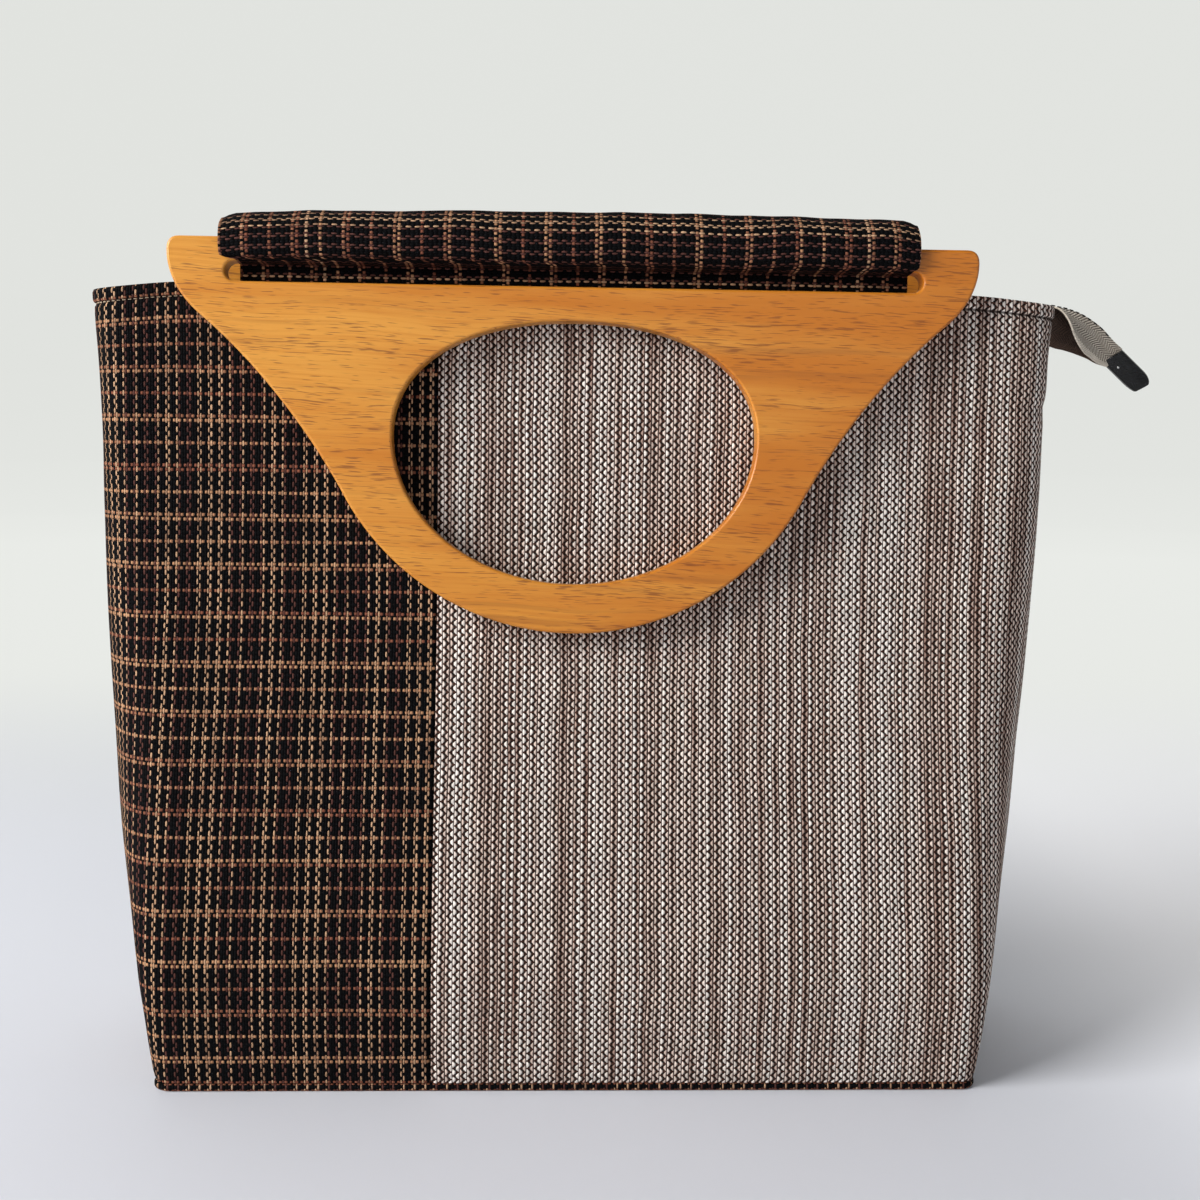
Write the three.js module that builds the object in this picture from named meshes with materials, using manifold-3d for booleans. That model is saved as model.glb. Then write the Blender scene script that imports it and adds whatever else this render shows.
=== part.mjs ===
// Wooden handle bag: a cloth tote in a dark check and a taupe weave, with a flat base, a zipped
// mouth and two flat wooden handles, each hung from the rim in a cloth sleeve.
// Millimetres. +X is to the right seen from the front, +Y to the back, +Z up.
// The origin is the centre of the base, on its underside.

import * as THREE from 'three';
import { mergeVertices } from 'three/addons/utils/BufferGeometryUtils.js';
import Module from 'manifold-3d';

const wasm = await Module();
wasm.setup();

// Clearance left between pieces that are sewn or seated together.
const GAP = 0.3;

// Bag body.
const BAG_HEIGHT = 296;
const BASE_WIDTH = 306;
const BASE_DEPTH = 110;
const TOP_WIDTH = 366;
const TOP_FLAT_WIDTH = 352;
const TOP_DEPTH = 37;
const WALL = 2;
const BASE_THICKNESS = 3;
const CORNER_ROUND = 14;
const COLOUR_SEAM_OFFSET = 51;
const RIM_DIP = 3;

// Opening in the right side seam that lets the end of the zip out.
const VENT_WIDTH = 5;

// Wooden handle plate. GRIP_CROWN is the wood between the hand hole and the slot above it.
const HANDLE_WIDTH = 297;
const HANDLE_HEIGHT = 143;
const HANDLE_THICKNESS = 9;
const HANDLE_EDGE = 1.2;
const BOW_RADIUS = 96.5;
const HORN_CORNER = 4.5;
const BAR_HEIGHT = 8.5;
const SLOT_HEIGHT = 7.5;
const SLOT_WIDTH = 255.4;
const GRIP_WIDTH = 134;
const GRIP_RISE = 18.1;
const GRIP_CROWN = 12.5;

// How far the floor of the handle's slot hangs below the rim.
const HANDLE_HANG = 1;

// Cloth sleeve round the handle's top bar.
const SLEEVE_CLOTH = 1.5;
const SLEEVE_TOP_SLACK = 8.5;
const SLEEVE_FRONT_SLACK = 5;
const SLEEVE_ARCH = 3.2;
const SLEEVE_END_TAPER = 3.4;

// Zip across the mouth.
const ZIP_RECESS = 6;
const ZIP_END_MARGIN = 17;
const TAPE_THICKNESS = 1.2;
const COIL_WIDTH = 3.2;
const COIL_THICKNESS = 2.4;
const SLIDER_LENGTH = 10;
const SLIDER_WIDTH = 8;
const SLIDER_PLATE = 1.2;
const PULL_LENGTH = 24;
const PULL_WIDTH = 6;

// Free end of the zip, folded along its teeth, and the cap on it.
const TAIL_REACH = 32;
const TAIL_DROP = 14.4;
const TAIL_LEAF = 15.6;
const CAP_LENGTH = 17.8;
const CAP_WIDTH = 9;
const CAP_THICKNESS = 5.5;

// Sections of the body from base to rim. rise: share of the height. crease: share of the way from
// the base's half width to the rim's flat half width, where the front turns into the side.
// seam: share of the way from the base's half width to the rim's half width, at the side seam.
// depth: share of the way from the rim's half depth to the base's half depth.
const BODY_SECTIONS = [
  { rise: 0.0, crease: 0.0, seam: 0.03, depth: 1.0, round: 0.5 },
  { rise: 0.07, crease: 0.11, seam: 0.2, depth: 1.03, round: 0.65 },
  { rise: 0.15, crease: 0.18, seam: 0.43, depth: 1.03, round: 0.8 },
  { rise: 0.3, crease: 0.3, seam: 0.69, depth: 0.77, round: 1.0 },
  { rise: 0.44, crease: 0.43, seam: 0.8, depth: 0.48, round: 1.0 },
  { rise: 0.57, crease: 0.61, seam: 0.88, depth: 0.26, round: 0.95 },
  { rise: 0.71, crease: 0.77, seam: 0.92, depth: 0.15, round: 0.85 },
  { rise: 0.85, crease: 0.9, seam: 0.925, depth: 0.06, round: 0.75 },
  { rise: 1.0, crease: 1.0, seam: 1.0, depth: 0.0, round: 0.65 },
];

// Outline of the handle above the bow, on the right. across: share of the half width.
// up: share of the height. pull and push: lengths of the curve's handles before and after the
// point, as shares of the height. heading: direction of the outline, in degrees from +X.
const HORN_POINTS = [
  { across: 0.569, up: 0.35, pull: 0, push: 0.24, heading: 61.2 },
  { across: 0.92, up: 0.804, pull: 0.14, push: 0.056, heading: 40 },
  { across: 1.0, up: 0.965, pull: 0.07, push: 0, heading: 90 },
];

// Folded end of the zip. reach: share of the tail's reach beyond the side seam. drop: share of its
// drop. front and back: how far each leaf is opened from hanging straight, in degrees.
// leaf: share of the leaf's width. lean: turn of the leaves back along the tail, in degrees.
const TAIL_STATIONS = [
  { reach: 0.0, drop: 0.0, front: 4, back: 4, leaf: 0.97, lean: 0 },
  { reach: 0.06, drop: 0.0, front: 14, back: 4, leaf: 1.0, lean: 0 },
  { reach: 0.17, drop: 0.01, front: 58, back: 4, leaf: 1.0, lean: 2 },
  { reach: 0.42, drop: 0.14, front: 46, back: 4, leaf: 0.97, lean: 10 },
  { reach: 0.7, drop: 0.48, front: 25, back: 4, leaf: 0.8, lean: 28 },
  { reach: 0.9, drop: 0.83, front: 9, back: 5, leaf: 0.64, lean: 46 },
  { reach: 1.0, drop: 1.0, front: 5, back: 5, leaf: 0.57, lean: 50 },
];

// Length of the tail inside the bag, where the two leaves fold down from flat to closed between
// the end of the tapes and the end of the rim's flat. along and rise: shares of that run and of
// the climb to the rim. open: how far each leaf stands from hanging straight, in degrees.
const TAIL_FOLDING = [
  { along: 0.0, rise: 0.0, open: 84 },
  { along: 0.5, rise: 0.3, open: 52 },
  { along: 1.0, rise: 0.7, open: 10 },
];

// Finishes.
const COLOURS = {
  darkCheck: { color: 0x2b211c, roughness: 0.9, metalness: 0 },
  taupeWeave: { color: 0x87776f, roughness: 0.88, metalness: 0 },
  wood: { color: 0xcf8c3c, roughness: 0.38, metalness: 0 },
  tape: { color: 0x9b9484, roughness: 0.85, metalness: 0 },
  coil: { color: 0x1c1815, roughness: 0.5, metalness: 0 },
  blackPlastic: { color: 0x0d0c0b, roughness: 0.25, metalness: 0 },
  slider: { color: 0x2a2826, roughness: 0.35, metalness: 0.9 },
};

const degrees = THREE.MathUtils.degToRad;
const lerp = THREE.MathUtils.lerp;

function finish(name) {
  return new THREE.MeshStandardMaterial(COLOURS[name]);
}

function namedMesh(name, geometry, finishName) {
  const mesh = new THREE.Mesh(geometry, finish(finishName));
  mesh.name = name;
  return mesh;
}

// Value of one column of a table at a place between its rows, on a smooth curve through them.
function columnAt(rows, place, column, at) {
  const last = rows.length - 1;
  let i = 0;
  while (i < last - 1 && at > rows[i + 1][place]) i += 1;
  const [a, b] = [rows[i], rows[i + 1]];
  const before = rows[Math.max(i - 1, 0)];
  const after = rows[Math.min(i + 2, last)];
  const span = b[place] - a[place];
  const slopeA = (b[column] - before[column]) / (b[place] - before[place]);
  const slopeB = (after[column] - a[column]) / (after[place] - a[place]);
  const t = THREE.MathUtils.clamp((at - a[place]) / span, 0, 1);
  const t2 = t * t;
  const t3 = t2 * t;
  return (2 * t3 - 3 * t2 + 1) * a[column] + (t3 - 2 * t2 + t) * span * slopeA
    + (3 * t2 - 2 * t3) * b[column] + (t3 - t2) * span * slopeB;
}

// Sizes of the body's outside at a height.
function bodySection(z) {
  const share = z / BAG_HEIGHT;
  const column = (name) => columnAt(BODY_SECTIONS, 'rise', name, share);
  return {
    crease: lerp(BASE_WIDTH, TOP_FLAT_WIDTH, column('crease')) / 2,
    seam: lerp(BASE_WIDTH, TOP_WIDTH, column('seam')) / 2,
    depth: lerp(TOP_DEPTH, BASE_DEPTH, column('depth')) / 2,
    round: CORNER_ROUND * column('round'),
  };
}

// Right-hand side and corner of the front half of a section, from the side seam (Y = 0) to the
// start of the flat front. The seam end runs straight along Y, so that front and back meet flush.
function sidePoints(section) {
  const { crease, seam, depth, round } = section;
  const turn = new THREE.Vector2(crease, -depth);
  const sideStart = new THREE.Vector2(seam, 0);
  const sideBulge = new THREE.Vector2(seam, -depth * 0.35);
  const alongSide = turn.clone().lerp(sideBulge, Math.min(round / turn.distanceTo(sideBulge), 0.6));
  const side = new THREE.QuadraticBezierCurve(sideStart, sideBulge, alongSide);
  const flatStart = new THREE.Vector2(crease - round, -depth);
  const corner = new THREE.QuadraticBezierCurve(alongSide, turn, flatStart);
  return [...side.getPoints(4).slice(0, -1), ...corner.getPoints(4)];
}

// Points moved inwards by the wall, square to the outline that they lie on.
function movedInwards(points, distance) {
  return points.map((point, i) => {
    const from = points[Math.max(i - 1, 0)];
    const to = points[Math.min(i + 1, points.length - 1)];
    const along = to.clone().sub(from).normalize();
    return new THREE.Vector2(point.x + along.y * distance, point.y - along.x * distance);
  });
}

// Closed body between an outer and an inner grid of points, with the same rows and columns.
function bentSheet(outerRows, innerRows) {
  const rows = outerRows.length;
  const columns = outerRows[0].length;
  const positions = [...outerRows.flat(), ...innerRows.flat()].flatMap((p) => p.toArray());
  const outer = (r, c) => r * columns + c;
  const inner = (r, c) => (rows + r) * columns + c;
  const index = [];
  const quad = (a, b, c, d) => index.push(a, b, c, a, c, d);
  for (let r = 0; r < rows - 1; r += 1) {
    for (let c = 0; c < columns - 1; c += 1) {
      quad(outer(r, c), outer(r, c + 1), outer(r + 1, c + 1), outer(r + 1, c));
      quad(inner(r, c), inner(r + 1, c), inner(r + 1, c + 1), inner(r, c + 1));
    }
    quad(outer(r, 0), outer(r + 1, 0), inner(r + 1, 0), inner(r, 0));
    const end = columns - 1;
    quad(outer(r, end), inner(r, end), inner(r + 1, end), outer(r + 1, end));
  }
  for (let c = 0; c < columns - 1; c += 1) {
    quad(outer(0, c), inner(0, c), inner(0, c + 1), outer(0, c + 1));
    const top = rows - 1;
    quad(outer(top, c), outer(top, c + 1), inner(top, c + 1), inner(top, c));
  }
  const geometry = new THREE.BufferGeometry();
  geometry.setAttribute('position', new THREE.Float32BufferAttribute(positions, 3));
  geometry.setIndex(signedVolume(positions, index) < 0 ? index.reverse() : index);
  geometry.computeVertexNormals();
  return geometry;
}

function signedVolume(positions, index) {
  const corner = (i) => new THREE.Vector3().fromArray(positions, 3 * index[i]);
  let sum = 0;
  for (let i = 0; i < index.length; i += 3) {
    sum += corner(i).dot(corner(i + 1).cross(corner(i + 2)));
  }
  return sum / 6;
}

// Union of overlapping closed geometries as one closed body.
function joined(...geometries) {
  const solids = geometries.map((geometry) => {
    const bare = geometry.clone();
    bare.deleteAttribute('normal');
    bare.deleteAttribute('uv');
    const merged = mergeVertices(bare, 1e-4);
    return new wasm.Manifold(new wasm.Mesh({
      numProp: 3,
      vertProperties: new Float32Array(merged.attributes.position.array),
      triVerts: new Uint32Array(merged.index.array),
    }));
  });
  const result = solids.reduce((sum, solid) => sum.add(solid)).getMesh();
  const geometry = new THREE.BufferGeometry();
  geometry.setAttribute('position', new THREE.Float32BufferAttribute(result.vertProperties, 3));
  geometry.setIndex(Array.from(result.triVerts));
  geometry.computeVertexNormals();
  return geometry;
}

// Height of the rim: it dips towards the side seams, past the end of the flat front.
function rimHeight(x) {
  const flatEnd = TOP_FLAT_WIDTH / 2 - CORNER_ROUND;
  const share = THREE.MathUtils.clamp((Math.abs(x) - flatEnd) / (TOP_WIDTH / 2 - flatEnd), 0, 1);
  return BAG_HEIGHT - RIM_DIP * share * share * (3 - 2 * share);
}

const ventFloor = BAG_HEIGHT - RIM_DIP - TAIL_LEAF - VENT_WIDTH / 2 - 2 * GAP;

// Distance from the centre plane at which a panel stops at the side seam.
function seamEnd(z, hasVent) {
  if (!hasVent || z <= ventFloor) return GAP / 2;
  return Math.min(GAP / 2 + (z - ventFloor), VENT_WIDTH / 2);
}

// Heights of the rows of points on the body's panels.
function panelHeights() {
  const foot = BASE_THICKNESS + GAP;
  const steps = 13;
  const heights = [];
  for (let i = 0; i <= steps; i += 1) heights.push(lerp(foot, BAG_HEIGHT, i / steps));
  return [...heights, ventFloor, ventFloor + VENT_WIDTH / 2].sort((a, b) => a - b);
}

// One panel of the body: from the colour seam across the front and round one side to the side
// seam. right chooses the side, back mirrors it to the back of the bag.
function bodyPanel({ right, back }) {
  const sign = right ? 1 : -1;
  const turn = back ? -1 : 1;
  const seamX = -COLOUR_SEAM_OFFSET + sign * (GAP / 2);
  const outerRows = [];
  const innerRows = [];
  for (const z of panelHeights()) {
    const section = bodySection(z);
    const end = seamEnd(z, right);
    const side = sidePoints(section);
    const flat = side[side.length - 1];
    const frontSteps = right ? 6 : 3;
    const outer = side.map((p) => p.clone());
    for (let i = 1; i <= frontSteps; i += 1) {
      outer.push(new THREE.Vector2(lerp(flat.x, sign * seamX, i / frontSteps), flat.y));
    }
    const inner = movedInwards(outer, WALL);
    const placed = (points) => points.map((p, i) => {
      const y = Math.min(p.y, -end);
      const height = z === BAG_HEIGHT ? rimHeight(outer[i].x) : z;
      return new THREE.Vector3(sign * p.x, turn * y, height);
    });
    outerRows.push(placed(outer));
    innerRows.push(placed(inner));
  }
  return bentSheet(outerRows, innerRows);
}

// Flat base under the four panels, cut to the outline of the body's foot.
function basePanel() {
  const corner = sidePoints(bodySection(0));
  const front = [...corner.map((p) => [p.x, p.y]), ...corner.map((p) => [-p.x, p.y]).reverse()];
  const back = front.slice(1, -1).map(([x, y]) => [x, -y]).reverse();
  const shape = new THREE.Shape([...front, ...back].map(([x, y]) => new THREE.Vector2(x, y)));
  return new THREE.ExtrudeGeometry(shape, { depth: BASE_THICKNESS, bevelEnabled: false });
}

// Outline of the wooden plate, with its foot at the origin and Y up the plate.
function handleOutline() {
  const half = HANDLE_WIDTH / 2;
  const nodes = HORN_POINTS.map(({ across, up, pull, push, heading }) => {
    const at = new THREE.Vector2(across * half, up * HANDLE_HEIGHT);
    const along = new THREE.Vector2(Math.cos(degrees(heading)), Math.sin(degrees(heading)));
    return {
      at,
      before: at.clone().addScaledVector(along, -pull * HANDLE_HEIGHT),
      after: at.clone().addScaledVector(along, push * HANDLE_HEIGHT),
    };
  });
  const cornerX = half - HORN_CORNER;
  const shape = new THREE.Shape();
  const bow = new THREE.Vector2(nodes[0].at.x, nodes[0].at.y - BOW_RADIUS);
  const bowEnd = bow.angle();
  shape.absarc(0, BOW_RADIUS, BOW_RADIUS, Math.PI - bowEnd, bowEnd, false);
  for (const side of [1, -1]) {
    const path = side > 0 ? nodes : [...nodes].reverse();
    if (side < 0) {
      shape.lineTo(-cornerX, HANDLE_HEIGHT);
      shape.quadraticCurveTo(-half, HANDLE_HEIGHT, -half, path[0].at.y);
    }
    for (let i = 0; i < path.length - 1; i += 1) {
      const from = side > 0 ? path[i].after : path[i].before;
      const to = side > 0 ? path[i + 1].before : path[i + 1].after;
      const end = path[i + 1].at;
      shape.bezierCurveTo(side * from.x, from.y, side * to.x, to.y, side * end.x, end.y);
    }
    if (side > 0) shape.quadraticCurveTo(half, HANDLE_HEIGHT, cornerX, HANDLE_HEIGHT);
  }
  return shape;
}

const barFloor = HANDLE_HEIGHT - BAR_HEIGHT;
const slotFloor = barFloor - SLOT_HEIGHT;
const gripHeight = slotFloor - GRIP_CROWN - GRIP_RISE;

// Hand hole: half an ellipse below its widest line and a fuller curve above it.
function gripHole() {
  const widest = 0.56;
  const fullness = { below: 2, above: 2.2 };
  const centre = GRIP_RISE + widest * gripHeight;
  const steps = 48;
  const points = [];
  for (let i = 0; i < steps; i += 1) {
    const angle = (2 * Math.PI * i) / steps;
    const [c, s] = [Math.cos(angle), Math.sin(angle)];
    const above = s > 0;
    const power = 2 / (above ? fullness.above : fullness.below);
    const height = (above ? 1 - widest : widest) * gripHeight;
    points.push(new THREE.Vector2(
      Math.sign(c) * Math.abs(c) ** power * (GRIP_WIDTH / 2),
      centre + Math.sign(s) * Math.abs(s) ** power * height,
    ));
  }
  return new THREE.Path(points);
}

// Long slot with round ends under the bar that the sleeve goes round.
function slotHole() {
  const radius = SLOT_HEIGHT / 2;
  const middle = slotFloor + radius;
  const straight = SLOT_WIDTH / 2 - radius;
  const hole = new THREE.Path();
  hole.absarc(straight, middle, radius, -Math.PI / 2, Math.PI / 2, false);
  hole.absarc(-straight, middle, radius, Math.PI / 2, (3 * Math.PI) / 2, false);
  return hole;
}

// Wooden plate lying on its back in the XY plane, 0 to its thickness along Z, edges eased.
function woodenHandle() {
  const shape = handleOutline();
  shape.holes.push(gripHole(), slotHole());
  const geometry = new THREE.ExtrudeGeometry(shape, {
    depth: HANDLE_THICKNESS - 2 * HANDLE_EDGE,
    bevelThickness: HANDLE_EDGE,
    bevelSize: HANDLE_EDGE,
    bevelOffset: -HANDLE_EDGE,
    bevelSegments: 1,
    curveSegments: 10,
  });
  return geometry.translate(0, 0, HANDLE_EDGE);
}

// Inside of the sleeve's loop, in the plate's own section: X is the way out of the plate's front
// face and Y is up the plate. It clears the bar at the back and below, and bellies out in front.
function sleeveLoop() {
  const back = -GAP - 0.1;
  const floor = barFloor - GAP;
  const front = HANDLE_THICKNESS + SLEEVE_FRONT_SLACK;
  const top = HANDLE_HEIGHT + SLEEVE_TOP_SLACK;
  const curve = new THREE.SplineCurve([
    new THREE.Vector2(back, floor + BAR_HEIGHT * 0.5),
    new THREE.Vector2(back, HANDLE_HEIGHT + SLEEVE_TOP_SLACK * 0.35),
    new THREE.Vector2(HANDLE_THICKNESS * 0.12, top - SLEEVE_TOP_SLACK * 0.2),
    new THREE.Vector2(HANDLE_THICKNESS * 0.6, top),
    new THREE.Vector2(front - SLEEVE_FRONT_SLACK * 0.35, top - SLEEVE_TOP_SLACK * 0.5),
    new THREE.Vector2(front, HANDLE_HEIGHT - BAR_HEIGHT * 0.15),
    new THREE.Vector2(front - SLEEVE_FRONT_SLACK * 0.25, barFloor + BAR_HEIGHT * 0.25),
    new THREE.Vector2(HANDLE_THICKNESS + GAP + 0.2, floor + 0.2),
    new THREE.Vector2(HANDLE_THICKNESS * 0.6, floor),
    new THREE.Vector2(HANDLE_THICKNESS * 0.1, floor),
  ]);
  return [...curve.getPoints(26), new THREE.Vector2(back, floor + 0.1)];
}

// Cloth sleeve: a loop round the bar, with a leg down behind the plate to the rim of the bag.
function handleSleeve(legFloor) {
  const inside = sleeveLoop();
  const wrapped = [inside[inside.length - 1], ...inside, inside[0]];
  const outside = movedInwards(wrapped, -SLEEVE_CLOTH).slice(1, -1);
  const loop = new THREE.Shape(outside.reverse());
  loop.holes.push(new THREE.Path(inside));
  const half = SLOT_WIDTH / 2 - GAP;
  const steps = 12;
  const tube = new THREE.ExtrudeGeometry(loop, { depth: 2 * half, steps, bevelEnabled: false });
  const legTop = barFloor + BAR_HEIGHT * 0.4;
  const legFace = -GAP - 0.1;
  const leg = new THREE.BoxGeometry(SLEEVE_CLOTH, legTop - legFloor, 2 * half, 1, 1, steps);
  leg.translate(legFace - SLEEVE_CLOTH / 2, (legTop + legFloor) / 2, half);
  const whole = joined(tube, leg);
  const position = whole.attributes.position;
  for (let i = 0; i < position.count; i += 1) {
    const [out, up] = [position.getX(i), position.getY(i)];
    const along = position.getZ(i) / half - 1;
    const above = THREE.MathUtils.clamp((up - HANDLE_HEIGHT) / SLEEVE_TOP_SLACK, 0, 1);
    const below = THREE.MathUtils.clamp((HANDLE_HEIGHT - up) / BAR_HEIGHT, 0, 1);
    const length = half - SLEEVE_END_TAPER * below;
    position.setXYZ(i, -along * length, up - SLEEVE_ARCH * above * along * along, out);
  }
  whole.computeVertexNormals();
  return whole;
}

// Depth of the outside of the front at a height.
const frontDepth = (z) => bodySection(z).depth;

// Handle and sleeve in place: the plate's slot is level with the rim, its foot leans on the panel,
// and it tilts to clear the rim. The group stands in front of the bag; turned, it is at the back.
function handleSet(suffix, turned) {
  const footHeight = BAG_HEIGHT - HANDLE_HANG - slotFloor;
  const rise = BAG_HEIGHT - footHeight;
  const chord = (z) => lerp(frontDepth(footHeight), frontDepth(BAG_HEIGHT), (z - footHeight) / rise);
  let bulge = 0;
  const samples = 12;
  for (let i = 0; i <= samples; i += 1) {
    const z = lerp(footHeight, BAG_HEIGHT, i / samples);
    bulge = Math.max(bulge, frontDepth(z) - chord(z));
  }
  const lean = Math.atan2(frontDepth(footHeight) - frontDepth(BAG_HEIGHT), rise);
  const footBack = frontDepth(footHeight) + bulge + GAP;
  const plate = namedMesh(`wooden_handle_${suffix}`, woodenHandle(), 'wood');
  const legFloor = slotFloor + HANDLE_HANG + GAP;
  const sleeve = namedMesh(`handle_sleeve_${suffix}`, handleSleeve(legFloor), 'darkCheck');
  const hung = new THREE.Group();
  hung.add(plate, sleeve);
  hung.rotation.x = Math.PI / 2 - lean;
  hung.position.set(0, -footBack, BAG_HEIGHT - HANDLE_HANG - slotFloor * Math.cos(lean));
  const set = new THREE.Group();
  set.rotation.z = turned ? Math.PI : 0;
  set.add(hung);
  return set;
}

const zipHeight = BAG_HEIGHT - ZIP_RECESS;
const zipHalfLength = TOP_FLAT_WIDTH / 2 - ZIP_END_MARGIN;
const tapeInner = COIL_WIDTH / 2 + GAP;
const tapeWidth = frontDepth(zipHeight) - WALL - GAP - tapeInner;

// Flat tape between the front or back panel and the zip's teeth.
function zipTape(suffix, side) {
  const geometry = new THREE.BoxGeometry(2 * zipHalfLength, tapeWidth, TAPE_THICKNESS);
  geometry.translate(0, side * (tapeInner + tapeWidth / 2), zipHeight);
  return namedMesh(`zip_tape_${suffix}`, geometry, 'tape');
}

const sliderLeft = -zipHalfLength;
const coilLeft = sliderLeft + SLIDER_LENGTH + GAP;

// Closed teeth of the zip, a rounded strip from the slider to the tail.
function zipCoil() {
  const [w, h] = [COIL_WIDTH / 2, COIL_THICKNESS / 2];
  const ease = h * 0.5;
  const section = new THREE.Shape([
    [-w, -h + ease], [-w + ease, -h], [w - ease, -h], [w, -h + ease],
    [w, h - ease], [w - ease, h], [-w + ease, h], [-w, h - ease],
  ].map(([x, y]) => new THREE.Vector2(x, y)));
  const length = zipHalfLength - coilLeft;
  const geometry = new THREE.ExtrudeGeometry(section, { depth: length, bevelEnabled: false });
  geometry.rotateX(Math.PI / 2);
  geometry.rotateZ(Math.PI / 2);
  return namedMesh('zip_coil', geometry.translate(coilLeft, 0, zipHeight), 'coil');
}

// Slider at the closed end: plates above and below the tapes on a web, with the pull lying flat.
function zipSlider() {
  const flange = TAPE_THICKNESS / 2 + GAP;
  const web = COIL_WIDTH / 2;
  const plateAt = (z) => new THREE.BoxGeometry(SLIDER_LENGTH, SLIDER_WIDTH, SLIDER_PLATE)
    .translate(sliderLeft + SLIDER_LENGTH / 2, 0, z);
  const middle = flange + SLIDER_PLATE / 2;
  const core = new THREE.BoxGeometry(SLIDER_LENGTH * 0.8, 2 * web, 2 * middle)
    .translate(sliderLeft + SLIDER_LENGTH / 2, 0, 0);
  const loopHeight = SLIDER_PLATE * 1.6;
  const pullBottom = Math.max(flange + SLIDER_PLATE, COIL_THICKNESS / 2 + GAP);
  const stud = new THREE.BoxGeometry(SLIDER_LENGTH * 0.4, PULL_WIDTH * 0.4, loopHeight + SLIDER_PLATE)
    .translate(sliderLeft + SLIDER_LENGTH * 0.6, 0, pullBottom + loopHeight / 2 - SLIDER_PLATE / 4);
  const outline = new THREE.Shape();
  outline.absarc(PULL_LENGTH - PULL_WIDTH / 2, 0, PULL_WIDTH / 2, -Math.PI / 2, Math.PI / 2, false);
  outline.lineTo(0, PULL_WIDTH * 0.35);
  outline.lineTo(0, -PULL_WIDTH * 0.35);
  const pull = new THREE.ExtrudeGeometry(outline, {
    depth: SLIDER_PLATE, bevelEnabled: false, curveSegments: 8,
  });
  pull.translate(sliderLeft + SLIDER_LENGTH * 0.5, 0, pullBottom + GAP / 2);
  const geometry = joined(plateAt(middle), plateAt(-middle), core, stud, pull);
  return namedMesh('zip_slider', geometry.translate(0, 0, zipHeight), 'slider');
}

// Stations of the zip's folded end, first inside the bag and then beyond the side seam.
function tailStations() {
  const inside = zipHalfLength + GAP;
  const exit = bodySection(zipHeight).seam;
  const exitHeight = rimHeight(exit) - GAP;
  const flatLeaf = Math.min(TAIL_LEAF, tapeInner + tapeWidth);
  const folding = TAIL_FOLDING.map(({ along, rise, open }) => ({
    x: lerp(inside, TOP_FLAT_WIDTH / 2, along),
    z: lerp(zipHeight + TAPE_THICKNESS / 2, exitHeight, rise),
    front: open,
    back: open,
    leaf: lerp(flatLeaf, TAIL_LEAF, along),
    lean: 0,
  }));
  const beyond = TAIL_STATIONS.map(({ reach, drop, front, back, leaf, lean }) => ({
    x: exit + reach * TAIL_REACH,
    z: exitHeight - drop * TAIL_DROP,
    front,
    back,
    leaf: leaf * TAIL_LEAF,
    lean,
  }));
  return [...folding, ...beyond];
}

// Direction down a leaf that is opened from hanging straight and leans back along the tail.
function leafDirection(open, lean, side) {
  const down = new THREE.Vector3(-Math.sin(degrees(lean)), 0, -Math.cos(degrees(lean)));
  const out = new THREE.Vector3(0, side, 0);
  return down.multiplyScalar(Math.cos(degrees(open))).addScaledVector(out, Math.sin(degrees(open)));
}

// Zip tape folded along its teeth: two leaves that hang from one fold.
function zipTail() {
  const outerRows = [];
  const innerRows = [];
  for (const { x, z, front, back, leaf, lean } of tailStations()) {
    const fold = new THREE.Vector3(x, 0, z);
    const leaves = [leafDirection(front, lean, -1), leafDirection(back, lean, 1)];
    const spread = degrees(front + back) / 2;
    const thick = TAPE_THICKNESS;
    const bisector = leaves[0].clone().add(leaves[1]).normalize();
    const inward = Math.min(thick / Math.sin(spread), leaf * 0.8);
    const innerFold = fold.clone().addScaledVector(bisector, inward);
    const tips = leaves.map((direction) => fold.clone().addScaledVector(direction, leaf));
    const innerTips = tips.map((tip, i) => {
      const squareIn = leaves[1 - i].clone();
      squareIn.addScaledVector(leaves[i], -squareIn.dot(leaves[i])).normalize();
      return tip.clone().addScaledVector(squareIn, Math.min(thick, leaf * Math.sin(spread) * 0.8));
    });
    outerRows.push([tips[0], fold, tips[1]]);
    innerRows.push([innerTips[0], innerFold, innerTips[1]]);
  }
  return namedMesh('zip_tail', bentSheet(outerRows, innerRows), 'tape');
}

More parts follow.
